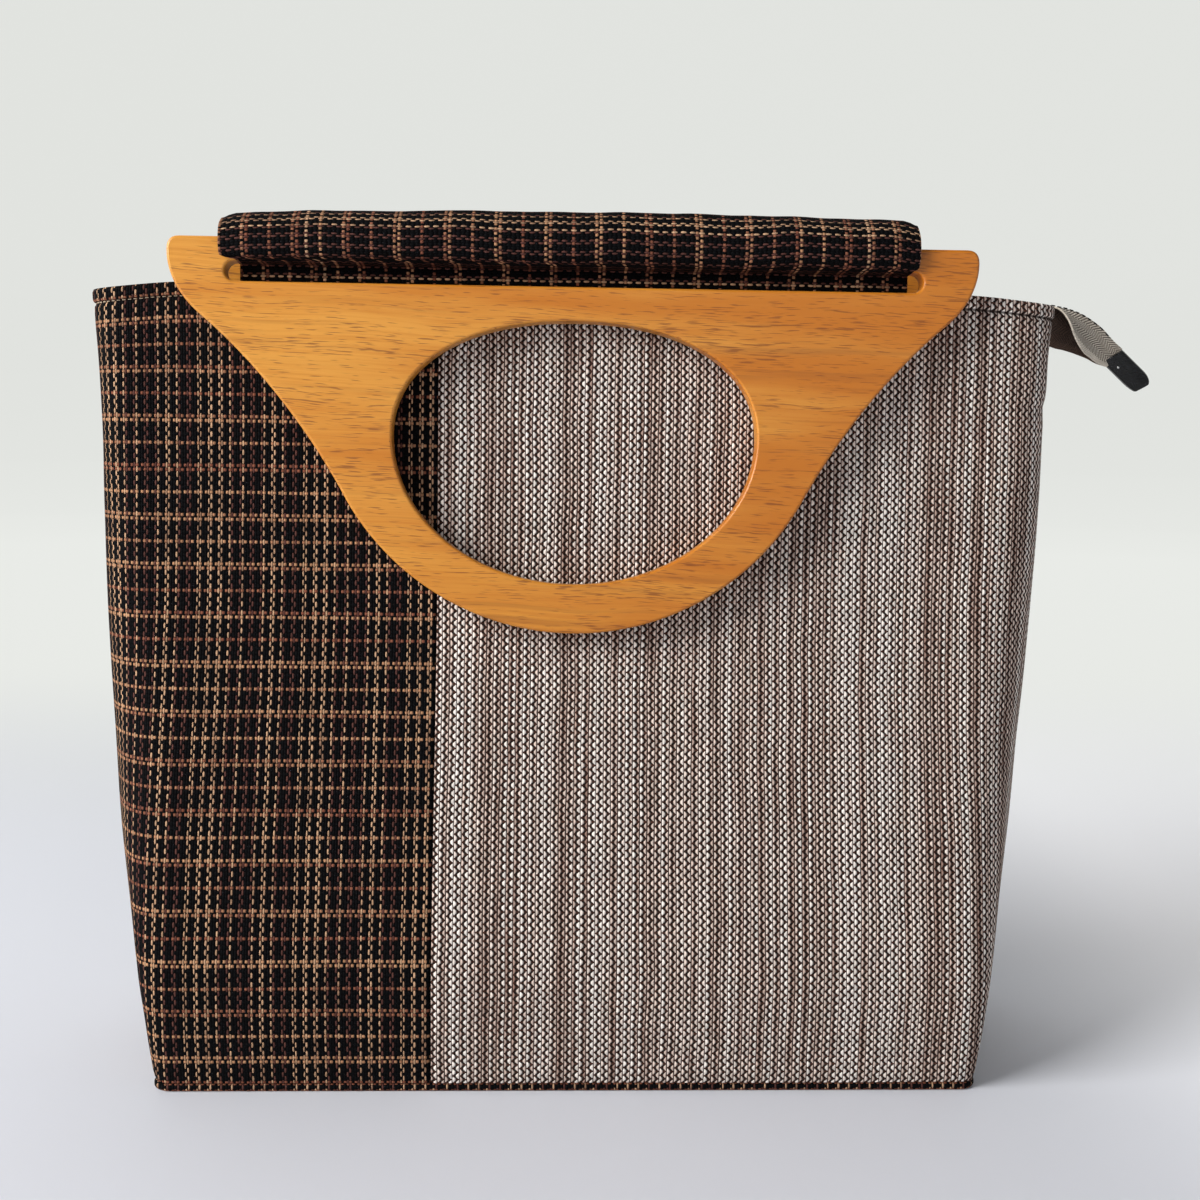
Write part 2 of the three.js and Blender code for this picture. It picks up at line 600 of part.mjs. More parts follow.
// Cap crimped on the tail: a ridged block with a rounded outer end, in line with the tail.
function zipEndCap() {
  const stations = tailStations();
  const last = stations[stations.length - 1];
  const ridge = CAP_THICKNESS / 2;
  const section = new THREE.Shape([
    [-0.5, 0.1], [-0.36, -0.5], [0.1, -0.5], [0.5, -0.16], [0.5, 0.26], [0.2, 0.5], [-0.36, 0.5],
  ].map(([across, out]) => new THREE.Vector2(across * CAP_WIDTH, out * 2 * ridge)));
  const steps = 8;
  const body = new THREE.ExtrudeGeometry(section, { depth: CAP_LENGTH, steps, bevelEnabled: false });
  const position = body.attributes.position;
  for (let i = 0; i < position.count; i += 1) {
    const along = position.getZ(i) / CAP_LENGTH;
    const nose = Math.max(0, (along - 0.72) / 0.28);
    const shrink = Math.sqrt(1 - 0.85 * nose * nose);
    position.setXY(i, position.getX(i) * shrink, position.getY(i) * (0.5 + 0.5 * shrink));
  }
  const down = leafDirection(0, last.lean, 1);
  const along = new THREE.Vector3(-down.z, 0, down.x);
  const out = new THREE.Vector3().crossVectors(along, down);
  const turn = new THREE.Matrix4().makeBasis(down, out, along);
  const cap = namedMesh('zip_end_cap', body, 'blackPlastic');
  cap.quaternion.setFromRotationMatrix(turn);
  cap.position.set(last.x, 0, last.z);
  cap.position.addScaledVector(down, last.leaf / 2).addScaledVector(along, GAP);
  return cap;
}

const bag = new THREE.Group();
bag.add(
  namedMesh('base_panel', basePanel(), 'darkCheck'),
  namedMesh('front_dark_panel', bodyPanel({ right: false, back: false }), 'darkCheck'),
  namedMesh('front_taupe_panel', bodyPanel({ right: true, back: false }), 'taupeWeave'),
  namedMesh('back_dark_panel', bodyPanel({ right: false, back: true }), 'darkCheck'),
  namedMesh('back_taupe_panel', bodyPanel({ right: true, back: true }), 'taupeWeave'),
  zipTape('front', -1),
  zipTape('back', 1),
  zipCoil(),
  zipSlider(),
  zipTail(),
  zipEndCap(),
  handleSet('front', false),
  handleSet('back', true),
);

export default bag;
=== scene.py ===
"""Looks of a wooden handle bag: woven cloth body, turned wooden handles in cloth sleeves, zip.

Metres, in the frame of the packed model: +X to the right seen from the front, +Y to the back.
"""

import math
from collections import namedtuple

import bpy
from bpy.props import FloatProperty, FloatVectorProperty, IntProperty, PointerProperty
from mathutils import Matrix, Vector, noise
from mathutils.geometry import interpolate_bezier


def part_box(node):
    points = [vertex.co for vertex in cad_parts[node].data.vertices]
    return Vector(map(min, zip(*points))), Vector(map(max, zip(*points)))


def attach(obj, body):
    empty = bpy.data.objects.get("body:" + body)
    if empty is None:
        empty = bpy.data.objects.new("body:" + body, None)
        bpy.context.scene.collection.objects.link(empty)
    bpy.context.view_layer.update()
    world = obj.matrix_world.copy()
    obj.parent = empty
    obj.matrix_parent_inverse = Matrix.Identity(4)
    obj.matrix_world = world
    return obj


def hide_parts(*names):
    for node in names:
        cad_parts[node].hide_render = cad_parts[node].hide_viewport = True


bl_info = {
    "name": "Wooden Handle Bag",
    "version": (1, 0, 0),
    "blender": (4, 5, 0),
    "location": "View3D > Sidebar > Bag",
    "description": "Builds a woven cloth bag with wooden handles around its packed frame",
    "category": "Object",
}

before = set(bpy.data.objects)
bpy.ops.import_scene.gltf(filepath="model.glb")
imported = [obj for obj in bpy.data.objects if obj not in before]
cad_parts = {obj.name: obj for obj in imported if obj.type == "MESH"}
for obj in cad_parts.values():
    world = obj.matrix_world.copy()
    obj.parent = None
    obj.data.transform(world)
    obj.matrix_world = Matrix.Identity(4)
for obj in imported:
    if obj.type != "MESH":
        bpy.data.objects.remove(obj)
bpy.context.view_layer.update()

MM = 0.001
BODY = "root"
RIM_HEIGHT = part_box("front_dark_panel")[1].z
HALF_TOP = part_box("front_taupe_panel")[1].x
BASE_LOW, BASE_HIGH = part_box("base_panel")
HANDLE_LOW, HANDLE_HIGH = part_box("wooden_handle_front")
TAPE_LOW, TAPE_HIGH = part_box("zip_tape_front")
COIL_LOW, COIL_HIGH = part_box("zip_coil")
CAP_LOW, CAP_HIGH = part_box("zip_end_cap")

# Sections of the body from base to rim. rise: share of the height. crease, seam and depth: shares
# of the way from the base's half sizes to the rim's. round: share of the corner's rounding.
Section = namedtuple("Section", "rise crease seam depth round")
BODY_SECTIONS = (
    Section(0.0, 0.0, 0.03, 1.0, 0.5),
    Section(0.07, 0.11, 0.2, 1.03, 0.65),
    Section(0.15, 0.18, 0.43, 1.03, 0.8),
    Section(0.3, 0.3, 0.69, 0.77, 1.0),
    Section(0.44, 0.43, 0.8, 0.48, 1.0),
    Section(0.57, 0.61, 0.88, 0.26, 0.95),
    Section(0.71, 0.77, 0.92, 0.15, 0.85),
    Section(0.85, 0.9, 0.925, 0.06, 0.75),
    Section(1.0, 1.0, 1.0, 0.0, 0.65),
)

# Outline of the handle above the bow, on the right. across and up: shares of the half width and
# of the height. pull and push: the curve's handles as shares of the height. heading: degrees.
HornPoint = namedtuple("HornPoint", "across up pull push heading")
HORN_POINTS = (
    HornPoint(0.569, 0.35, 0.0, 0.24, 61.2),
    HornPoint(0.92, 0.804, 0.14, 0.056, 40.0),
    HornPoint(1.0, 0.965, 0.07, 0.0, 90.0),
)

# Folded end of the zip beyond the side seam. reach and drop: shares of the tail's reach and drop.
# front and back: opening of each leaf from hanging straight, in degrees. flap and leaf: shares of
# the leaf's width, in front and behind. lean: turn of the leaves back along the tail, in degrees.
TailStation = namedtuple("TailStation", "reach drop front back flap leaf lean")
TAIL_STATIONS = (
    TailStation(-0.5, -0.02, 86, 4, 0.12, 0.9, 0),
    TailStation(-0.1, -0.04, 86, 4, 0.16, 0.95, 0),
    TailStation(0.0, -0.03, 84, 4, 0.45, 0.97, 0),
    TailStation(0.1, 0.0, 68, 4, 0.86, 1.0, 0),
    TailStation(0.22, 0.04, 47, 4, 0.97, 1.0, 2),
    TailStation(0.45, 0.2, 27, 5, 0.97, 0.95, 10),
    TailStation(0.7, 0.52, 15, 4, 0.84, 0.82, 24),
    TailStation(0.88, 0.88, 8, 4, 0.7, 0.68, 36),
    TailStation(1.0, 1.08, 4, 4, 0.6, 0.58, 42),
)

# Section of the end cap, across its width and out from its middle, as shares of its sizes.
CAP_SECTION = (
    (-0.5, 0.1), (-0.36, -0.5), (0.1, -0.5), (0.5, -0.16), (0.5, 0.26), (0.2, 0.5), (-0.36, 0.5),
)


def length(name, millimetres, text):
    """A length property with its default given in millimetres."""
    return FloatProperty(name=name, description=text, default=millimetres * MM,
                         min=0.0, unit="LENGTH", precision=5)


def tint(name, red, green, blue, text):
    """A colour property with its default given as an sRGB colour of 0 to 255."""
    return FloatVectorProperty(name=name, description=text, subtype="COLOR", size=3,
                               min=0.0, max=1.0, default=linear(red, green, blue))


def linear(red, green, blue):
    """Scene-linear colour of an sRGB colour of 0 to 255."""
    shares = (red / 255, green / 255, blue / 255)
    return tuple(c / 12.92 if c <= 0.04045 else ((c + 0.055) / 1.055) ** 2.4 for c in shares)


class BagBodySizes(bpy.types.PropertyGroup):
    """Sizes of the cloth body."""

    base_width: length("Base width", 306, "Width of the body at the base")
    base_depth: length("Base depth", 110, "Depth of the body at the base")
    flat_width: length("Flat width", 352, "Width of the flat front at the rim")
    top_depth: length("Top depth", 37, "Depth of the body at the rim")
    corner: length("Corner", 14, "Rounding between front and side")
    wall: length("Wall", 2, "Thickness of the cloth and its backing")
    seam_offset: length("Colour seam", 51, "Distance of the colour seam left of the middle")
    rim_dip: length("Rim dip", 3, "How far the rim is lower at the side seams")
    hem: length("Hem", 5.2, "Height of the turned hem at the rim")
    hem_proud: length("Hem step", 0.45, "How far the double cloth of the hem stands out")
    seam_gap: length("Seam gap", 0.3, "Clearance between two panels at a seam")
    vent: length("Vent", 5, "Width of the opening that lets the zip out")
    vent_depth: length("Vent depth", 18.7, "How far the vent reaches below the rim's end")
    ripple: length("Ripple", 0.75, "Height of the soft unevenness of the cloth")
    skew: length("Skew", 1.6, "How far the rim has settled to the right")


class BagHandleSizes(bpy.types.PropertyGroup):
    """Sizes of the wooden handles and their sleeves."""

    width: length("Width", 297, "Width of the wooden plate")
    height: length("Height", 143, "Height of the wooden plate")
    thickness: length("Thickness", 9, "Thickness of the wooden plate")
    edge: length("Edge", 1.15, "Rounding of the wooden plate's edges")
    bow: length("Bow", 96.5, "Radius of the round foot of the plate")
    horn: length("Horn", 4.5, "Rounding of the upper corners")
    bar: length("Bar", 8.5, "Height of the bar above the slot")
    slot_height: length("Slot height", 7.5, "Height of the slot")
    slot_width: length("Slot width", 255.4, "Length of the slot")
    grip_width: length("Hand hole width", 134, "Width of the hand hole")
    grip_rise: length("Hand hole rise", 18.1, "Wood below the hand hole")
    grip_crown: length("Hand hole crown", 12.5, "Wood between the hand hole and the slot")
    hang: length("Hang", 1, "How far the slot's floor hangs below the rim")
    cloth: length("Sleeve cloth", 1.4, "Thickness of the sleeve's cloth")
    top_slack: length("Top slack", 11.8, "Height of the sleeve above the bar")
    front_slack: length("Front slack", 5, "How far the sleeve bellies out in front")
    arch: length("Arch", 2.0, "How much lower the sleeve is at its ends")
    tilt: length("Tilt", 0.9, "How much more the front sleeve sinks at its left end")
    taper: length("Taper", 3.9, "How much shorter the sleeve is in the slot, at each end")
    shift: length("Shift", 1.8, "How far the front sleeve has slid to the left")


class BagZipSizes(bpy.types.PropertyGroup):
    """Sizes of the zip."""

    tape: length("Tape", 0.9, "Thickness of the tape")
    tooth_pitch: length("Tooth pitch", 1.5, "Distance from tooth to tooth")
    reach: length("Tail reach", 29.1, "Reach of the tail beyond the side seam")
    drop: length("Tail drop", 14.4, "Drop of the tail from the rim to its end")
    leaf: length("Leaf", 15.6, "Width of each half of the folded tail")
    cap_length: length("Cap length", 17.8, "Length of the end cap")
    cap_width: length("Cap width", 9, "Width of the end cap")
    cap_thickness: length("Cap thickness", 5.5, "Thickness of the end cap")
    slider_length: length("Slider length", 10, "Length of the slider")
    slider_width: length("Slider width", 8, "Width of the slider")
    pull_length: length("Pull length", 24, "Length of the slider's pull")
    pull_width: length("Pull width", 6, "Width of the slider's pull")


class BagClothFinish(bpy.types.PropertyGroup):
    """Threads and colours of the two cloths."""

    check_end: length("Check end", 0.985, "Distance between lengthwise threads of the check")
    check_pick: length("Check pick", 1.655, "Distance between cross threads of the check")
    taupe_end: length("Taupe end", 1.37, "Distance between lengthwise threads of the taupe")
    taupe_pick: length("Taupe pick", 1.5, "Distance between cross threads of the taupe")
    ground: tint("Ground", 8, 8, 10, "Black threads of the check")
    tan: tint("Tan", 190, 152, 120, "Bright threads of the check")
    russet: tint("Russet", 88, 56, 50, "Dim threads of the check")
    cross: tint("Cross", 178, 132, 98, "Pale cross threads of the check")
    rust: tint("Rust", 128, 78, 60, "Reddish cross threads of the check")
    pale: tint("Pale", 246, 236, 227, "Brightest threads of the taupe cloth")
    greige: tint("Greige", 232, 210, 196, "Middle threads of the taupe cloth")
    brown: tint("Brown", 160, 126, 111, "Darkest lengthwise threads of the taupe cloth")
    umber: tint("Umber", 78, 50, 40, "Cross threads of the taupe cloth")
    lining: tint("Lining", 52, 40, 32, "Backing on the inside of the bag")


class BagWoodFinish(bpy.types.PropertyGroup):
    """Colours of the varnished wood."""

    light: tint("Light", 216, 150, 60, "Light bands of the wood")
    deep: tint("Deep", 190, 110, 20, "Deep bands of the wood")
    pore: tint("Pore", 120, 62, 18, "Short dark pores")


class BagTrimFinish(bpy.types.PropertyGroup):
    """Colours of the zip and its fittings."""

    tape: tint("Tape", 136, 123, 107, "Ground of the zip's tape")
    tape_rib: tint("Tape rib", 230, 219, 201, "Raised threads of the zip's tape")
    # The reverse's dark brown is partly the brown lining's own colour and partly painted shade of the
    # tail's hidden leaf.
    tape_inside: tint("Tape inside", 84, 62, 48, "Reverse of the zip's tape")
    teeth: tint("Teeth", 26, 22, 20, "Teeth of the zip")
    plastic: tint("Plastic", 6, 6, 5, "End cap")
    metal: tint("Metal", 70, 68, 66, "Slider")
    stitch: tint("Stitch", 214, 190, 160, "Hem stitches on the check")


GROUPS = {
    "bag_body": BagBodySizes,
    "bag_handle": BagHandleSizes,
    "bag_zip": BagZipSizes,
    "bag_cloth": BagClothFinish,
    "bag_wood": BagWoodFinish,
    "bag_trim": BagTrimFinish,
}


# Shapes

def column_at(rows, place, column, at):
    """Value of one column of a table between its rows, on a smooth curve through them."""
    values = [(getattr(row, place), getattr(row, column)) for row in rows]
    i = 0
    while i < len(values) - 2 and at > values[i + 1][0]:
        i += 1
    before, a, b, after = (values[min(max(k, 0), len(values) - 1)] for k in (i - 1, i, i + 1, i + 2))
    span = b[0] - a[0]
    slope_a = (b[1] - before[1]) / (b[0] - before[0])
    slope_b = (after[1] - a[1]) / (after[0] - a[0])
    t = min(max((at - a[0]) / span, 0.0), 1.0)
    t2, t3 = t * t, t * t * t
    return ((2 * t3 - 3 * t2 + 1) * a[1] + (t3 - 2 * t2 + t) * span * slope_a
            + (3 * t2 - 2 * t3) * b[1] + (t3 - t2) * span * slope_b)


def blend_between(low, high, share):
    return low + (high - low) * share


def ease(low, high, value):
    """0 below low, 1 above high, and a smooth step between."""
    t = min(max((value - low) / (high - low), 0.0), 1.0)
    return t * t * (3 - 2 * t)


def bump_at(centre, reach, value):
    """1 at the centre, fading to 0 a few reaches away."""
    return math.exp(-((value - centre) / reach) ** 2)


def body_depth(z):
    """Half depth of the body's outside at a height."""
    sizes = bpy.context.scene.bag_body
    share = column_at(BODY_SECTIONS, "rise", "depth", z / RIM_HEIGHT)
    return blend_between(sizes.top_depth, sizes.base_depth, share) / 2


def quadratic(a, b, c, steps):
    points = []
    for i in range(1, steps + 1):
        t = i / steps
        points.append(a * (1 - t) ** 2 + b * 2 * t * (1 - t) + c * t * t)
    return points


def half_outline(z):
    """Front right quarter of the body's outline at a height, from the middle to the side seam."""
    sizes = bpy.context.scene.bag_body
    share = z / RIM_HEIGHT
    crease, seam, rounding = (
        column_at(BODY_SECTIONS, "rise", name, share) for name in ("crease", "seam", "round"))
    crease = blend_between(sizes.base_width, sizes.flat_width, crease) / 2
    seam = blend_between(sizes.base_width / 2, HALF_TOP, seam)
    rounding *= sizes.corner
    depth = body_depth(z)
    turn = Vector((crease, -depth))
    bulge = Vector((seam, -depth * 0.35))
    side_start = turn.lerp(bulge, min(rounding / (bulge - turn).length, 0.6))
    flat_end = Vector((crease - rounding, -depth))
    return [Vector((0.0, -depth)), flat_end, *quadratic(flat_end, turn, side_start, 10),
            *quadratic(side_start, bulge, Vector((seam, 0.0)), 14)]


class Track:
    """A line of points with the distance along it."""

    def __init__(self, points):
        self.points = points
        self.marks = [0.0]
        for a, b in zip(points, points[1:]):
            self.marks.append(self.marks[-1] + (b - a).length)

    def at(self, distance):
        """Point and direction at a distance along."""
        i = 0
        while i < len(self.points) - 2 and distance > self.marks[i + 1]:
            i += 1
        a, b = self.points[i], self.points[i + 1]
        span = self.marks[i + 1] - self.marks[i]
        return a.lerp(b, (distance - self.marks[i]) / span), (b - a).normalized()


def spaced(start, end, step, edge):
    """Places from start to end about a step apart, closer together at both ends."""
    total = end - start
    count = max(2, round(abs(total) / step))
    inner = [start + total * i / count for i in range(1, count)]
    sign = 1 if total > 0 else -1
    near = [start + sign * e for e in edge]
    far = [end - sign * e for e in reversed(edge)]
    return [start, *near, *inner, *far, end]


def spline_through(points, steps):
    """Smooth line through points, with a number of steps between neighbours."""
    line = []
    for i in range(len(points) - 1):
        p0, p1, p2, p3 = (points[min(max(k, 0), len(points) - 1)] for k in (i - 1, i, i + 1, i + 2))
        for step in range(steps):
            t = step / steps
            line.append(0.5 * (2 * p1 + (p2 - p0) * t + (2 * p0 - 5 * p1 + 4 * p2 - p3) * t ** 2
                               + (3 * p1 - p0 - 3 * p2 + p3) * t ** 3))
    return [*line, points[-1]]


# Modelling

def fresh():
    """Leaves edit mode and deselects everything."""
    if bpy.context.object and bpy.context.object.mode != "OBJECT":
        bpy.ops.object.mode_set(mode="OBJECT")
    bpy.ops.object.select_all(action="DESELECT")


def activate(piece):
    fresh()
    piece.select_set(True)
    bpy.context.view_layer.objects.active = piece


def newest(name):
    piece = bpy.context.active_object
    piece.name = name
    piece.data.name = name
    return piece


def shape_with(piece, kind, **settings):
    """Adds a modifier to a piece and applies it."""
    activate(piece)
    modifier = piece.modifiers.new(kind.title(), kind)
    for name, value in settings.items():
        setattr(modifier, name, value)
    bpy.ops.object.modifier_apply(modifier=modifier.name)


def grid_sheet(name, rows, outward):
    """Sheet through rows of (place, uv) points, with its faces towards outward."""
    fresh()
    columns = len(rows[0])
    bpy.ops.mesh.primitive_grid_add(x_subdivisions=columns - 1, y_subdivisions=len(rows) - 1)
    piece = newest(name)
    mesh = piece.data
    if len(mesh.vertices) != columns * len(rows):
        raise RuntimeError(f"{name}: the grid has {len(mesh.vertices)} points")
    points = [point for row in rows for point in row]
    for vertex, (place, _) in zip(mesh.vertices, points):
        vertex.co = place
    layer = mesh.uv_layers.active
    for loop, corner in zip(mesh.loops, layer.data):
        corner.uv = points[loop.vertex_index][1]
    mesh.update()
    if mesh.polygons[len(mesh.polygons) // 2].normal.dot(outward) < 0:
        edit(piece, lambda: bpy.ops.mesh.flip_normals())
    return piece


def edit(piece, *steps):
    """Runs edit-mode steps on all of a piece."""
    activate(piece)
    bpy.ops.object.mode_set(mode="EDIT")
    bpy.ops.mesh.select_all(action="SELECT")
    for step in steps:
        step()
    bpy.ops.object.mode_set(mode="OBJECT")


def smooth(piece, degrees=40):
    activate(piece)
    bpy.ops.object.shade_smooth_by_angle(angle=math.radians(degrees))


def wear(piece, *materials):
    """Gives a piece its materials, in the order of its slots."""
    slots = piece.data.materials
    for index, material in enumerate(materials):
        if index < len(slots):
            slots[index] = material
        else:
            slots.append(material)


def two_sided(piece):
    """Empty slots for the outer and the inner material of a sheet that is still to be thickened."""
    for _ in range(2):
        piece.data.materials.append(None)


def settle(piece, slot, *nodes):
    """Fixes a finished piece to the bag, as what stands for some nodes."""
    activate(piece)
    bpy.ops.object.transform_apply(location=True, rotation=True, scale=True)
    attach(piece, BODY)
    if nodes:
        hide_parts(*nodes)


def copies_of(template, name, places):
    """One mesh of copies of a small template, which is used up."""
    fresh()
    for place in places:
        twin = template.copy()
        twin.data = template.data.copy()
        bpy.context.collection.objects.link(twin)
        twin.matrix_world = place
        twin.select_set(True)
        bpy.context.view_layer.objects.active = twin
    bpy.ops.object.join()
    joined = newest(name)
    spent = template.data
    bpy.data.objects.remove(template)
    bpy.data.meshes.remove(spent)
    activate(joined)
    bpy.ops.object.transform_apply(location=True, rotation=True, scale=True)
    return joined


# Body

def hem_length():
    """Length of cloth from the foot of a panel up to its hem."""
    sizes = bpy.context.scene.bag_body
    heights = [z for z in panel_heights() if z <= RIM_HEIGHT - sizes.hem + 0.01 * MM]
    line = [Vector((body_depth(z), z)) for z in heights]
    return Track(line).marks[-1]


def rim_skew(x, z):
    """How far the upper body has settled to the right at a place."""
    sizes = bpy.context.scene.bag_body
    reach = HALF_TOP + sizes.seam_offset if x > -sizes.seam_offset else HALF_TOP - sizes.seam_offset
    return sizes.skew * ease(0.08, 0.24, z) * abs(x + sizes.seam_offset) / reach


def rim_drop(x):
    """How far the rim is lower at a place than in the middle."""
    sizes = bpy.context.scene.bag_body
    return sizes.rim_dip * ease(sizes.flat_width / 2 - 3 * sizes.corner, HALF_TOP, abs(x)) ** 1.5


def panel_heights():
    """Heights of a panel's rows, closer at the foot and round the hem's lower edge."""
    sizes = bpy.context.scene.bag_body
    foot = BASE_HIGH.z + sizes.seam_gap
    hem = RIM_HEIGHT - sizes.hem
    below = spaced(foot, hem, 3.6 * MM, (0.5 * MM, 1.2 * MM))
    return [*below, hem + 0.5 * MM, hem + 1.1 * MM, *spaced(hem + 2.2 * MM, RIM_HEIGHT, 1.2 * MM, ())]


def cloth_relief(along, z, hugs_handle):
    """How far the cloth stands out of its plain outline at a place."""
    sizes = bpy.context.scene.bag_body
    hem = RIM_HEIGHT - sizes.hem
    soft = noise.noise(Vector((along * 13, z * 9, 1.7)))
    fine = noise.noise(Vector((along * 42, z * 24, 5.1)))
    pull = noise.noise(Vector((along * 9, z * 60, 8.3)))
    relief = sizes.ripple * (soft + 0.28 * fine + 0.12 * pull)
    if hugs_handle:
        behind = ease(0.152, 0.172, z) * (1 - ease(0.15, 0.17, abs(along)))
        relief = blend_between(relief, -abs(relief) * 0.5 - 0.2 * MM, behind)
    relief *= 1 - 0.6 * ease(hem - 8 * MM, hem, z)
    relief += sizes.hem_proud * ease(hem - 0.2 * MM, hem + 0.6 * MM, z)
    relief -= 0.75 * MM * bump_at(hem - 0.1 * MM, 0.75 * MM, z)
    relief -= 0.5 * MM * ease(RIM_HEIGHT - 1.2 * MM, RIM_HEIGHT, z)
    foot = BASE_HIGH.z + sizes.seam_gap
    relief -= 0.5 * MM * bump_at(foot, 1.2 * MM, z)
    return relief


def side_dents(x, y, z):
    """Small dents pressed into the right side under the rim."""
    near_seam = bump_at(0.0, 0.02, y) * ease(0.15, 0.175, x)
    return near_seam * (0.5 * MM * bump_at(0.263, 0.008, z) - 0.9 * MM * bump_at(0.254, 0.003, z))


def body_panel(name, right, back):
    """Cloth panel from the colour seam across the front and round one side to the side seam."""
    sizes = bpy.context.scene.bag_body
    side = 1 if right else -1
    turn = -1 if back else 1
    gap = sizes.seam_gap / 2
    start = -sizes.seam_offset + side * gap
    vent_floor = RIM_HEIGHT - sizes.rim_dip - sizes.vent_depth
    rows = []
    up, last = 0.0, None
    for z in panel_heights():
        front = Vector((body_depth(z), z))
        up += (front - last).length if last else 0.0
        last = front
        track = Track(half_outline(z))
        end = side * track.marks[-1]
        rows.append([])
        count_from = RIM_HEIGHT / 2
        full = side * Track(half_outline(count_from)).marks[-1]
        for place in spaced(start, full, 3.4 * MM, (0.5 * MM, 1.1 * MM, 2.0 * MM)):
            along = blend_between(start, end, (place - start) / (full - start))
            flat, heading = track.at(abs(along))
            sign = 1 if along >= 0 else -1
            normal = Vector((heading.y, -heading.x))
            edge = min(abs(along - start), abs(end - along))
            hugs = abs(flat.y) > 0.012
            relief = cloth_relief(along if not back else along + 2.0, z, hugs)
            relief -= 0.75 * MM * bump_at(0.0, 0.75 * MM, edge)
            relief += side_dents(flat.x, flat.y, z) if right and not back else 0.0
            moved = flat + normal * relief
            stop = gap
            if right and z > vent_floor:
                stop = min(gap + z - vent_floor, sizes.vent / 2)
            y = min(moved.y, -stop)
            drop = rim_drop(flat.x) * ease(RIM_HEIGHT * 0.85, RIM_HEIGHT, z)
            x = sign * moved.x
            rows[-1].append((Vector((x + rim_skew(x, z), turn * y, z - drop)), (along, up)))
    panel = grid_sheet(name, rows, Vector((0.0, -turn, 0.0)))
    two_sided(panel)
    shape_with(panel, "SOLIDIFY", thickness=sizes.wall, offset=-1.0, use_even_offset=True,
               material_offset=1, material_offset_rim=0)
    shape_with(panel, "BEVEL", width=0.55 * MM, segments=3, limit_method="ANGLE",
               angle_limit=math.radians(55))
    smooth(panel, 50)
    return panel, rows


def base_slab():
    """Base of the bag: a rounded rectangle with soft edges."""
    sizes = bpy.context.scene.bag_body
    corner = 7 * MM
    half = BASE_HIGH - BASE_LOW
    fresh()
    bpy.ops.mesh.primitive_plane_add(size=1)
    slab = newest("base_cloth")
    slab.scale = (half.x - 0.6 * MM, half.y - 0.4 * MM, 1)
    bpy.ops.object.transform_apply(scale=True)
    edit(slab,
         lambda: bpy.ops.mesh.bevel(offset=corner, segments=8, affect="VERTICES"),
         lambda: bpy.ops.mesh.extrude_region_move(
             TRANSFORM_OT_translate={"value": (0, 0, BASE_HIGH.z - BASE_LOW.z)}),
         lambda: bpy.ops.mesh.select_all(action="SELECT"),
         lambda: bpy.ops.mesh.normals_make_consistent(inside=False))
    shape_with(slab, "BEVEL", width=1.25 * MM, segments=4, limit_method="ANGLE",
               angle_limit=math.radians(50))
    mesh = slab.data
    layer = mesh.uv_layers.active
    for face in mesh.polygons:
        for index in face.loop_indices:
            place = mesh.vertices[mesh.loops[index].vertex_index].co
            if abs(face.normal.z) > 0.75:
                uv = (place.x, place.y)
            elif abs(face.normal.y) > abs(face.normal.x):
                uv = (place.x, place.z * 1.1)
            else:
                uv = (place.y, place.z * 1.1)
            layer.data[index].uv = uv
    smooth(slab, 50)
    return slab


# Handles

def handle_outline(sizes):
    """Outline of the plate, foot at the origin, anticlockwise from the left end of the bow."""
    half = sizes.width / 2
    nodes = []
    for point in HORN_POINTS:
        at = Vector((point.across * half, point.up * sizes.height))
        heading = math.radians(point.heading)
        along = Vector((math.cos(heading), math.sin(heading))) * sizes.height
        nodes.append((at, at - along * point.pull, at + along * point.push))
    bow_end = (nodes[0][0] - Vector((0, sizes.bow))).xy
    angle = math.atan2(bow_end.x, -bow_end.y)
    steps = 40
    right = []
    for i in range(steps):
        swing = angle * i / steps
        right.append(Vector((sizes.bow * math.sin(swing), sizes.bow * (1 - math.cos(swing)))))
    for (a, _, push), (b, pull, _) in zip(nodes, nodes[1:]):
        right += interpolate_bezier(a, push, pull, b, 18)[:-1]
    top = nodes[-1][0]
    corner = Vector((half, sizes.height))
    right += [top, *quadratic(top, corner, Vector((half - sizes.horn, sizes.height)), 6)]
    left = [Vector((-p.x, p.y)) for p in reversed(right[1:])]
    return [*right, *left]


def hand_hole(sizes):
    """Half an ellipse below the widest line and a fuller curve above it."""
    slot_floor = sizes.height - sizes.bar - sizes.slot_height
    tall = slot_floor - sizes.grip_crown - sizes.grip_rise
    widest = 0.56
    steps = 96
    points = []
    for i in range(steps):
        angle = 2 * math.pi * i / steps
        c, s = math.cos(angle), math.sin(angle)
        power = 2 / 2.2 if s > 0 else 1.0
        reach = (1 - widest if s > 0 else widest) * tall
        points.append(Vector((math.copysign(abs(c) ** power, c) * sizes.grip_width / 2,
                              sizes.grip_rise + widest * tall + math.copysign(abs(s) ** power, s) * reach)))
    return points


def slot_hole(sizes):
    radius = sizes.slot_height / 2
    middle = sizes.height - sizes.bar - radius
    straight = sizes.slot_width / 2 - radius
    points = []
    for side, first in ((1, -90), (-1, 90)):
        for i in range(13):
            angle = math.radians(first + 15 * i)
            points.append(Vector((side * straight + radius * math.cos(angle),
                                  middle + radius * math.sin(angle))))
    return points


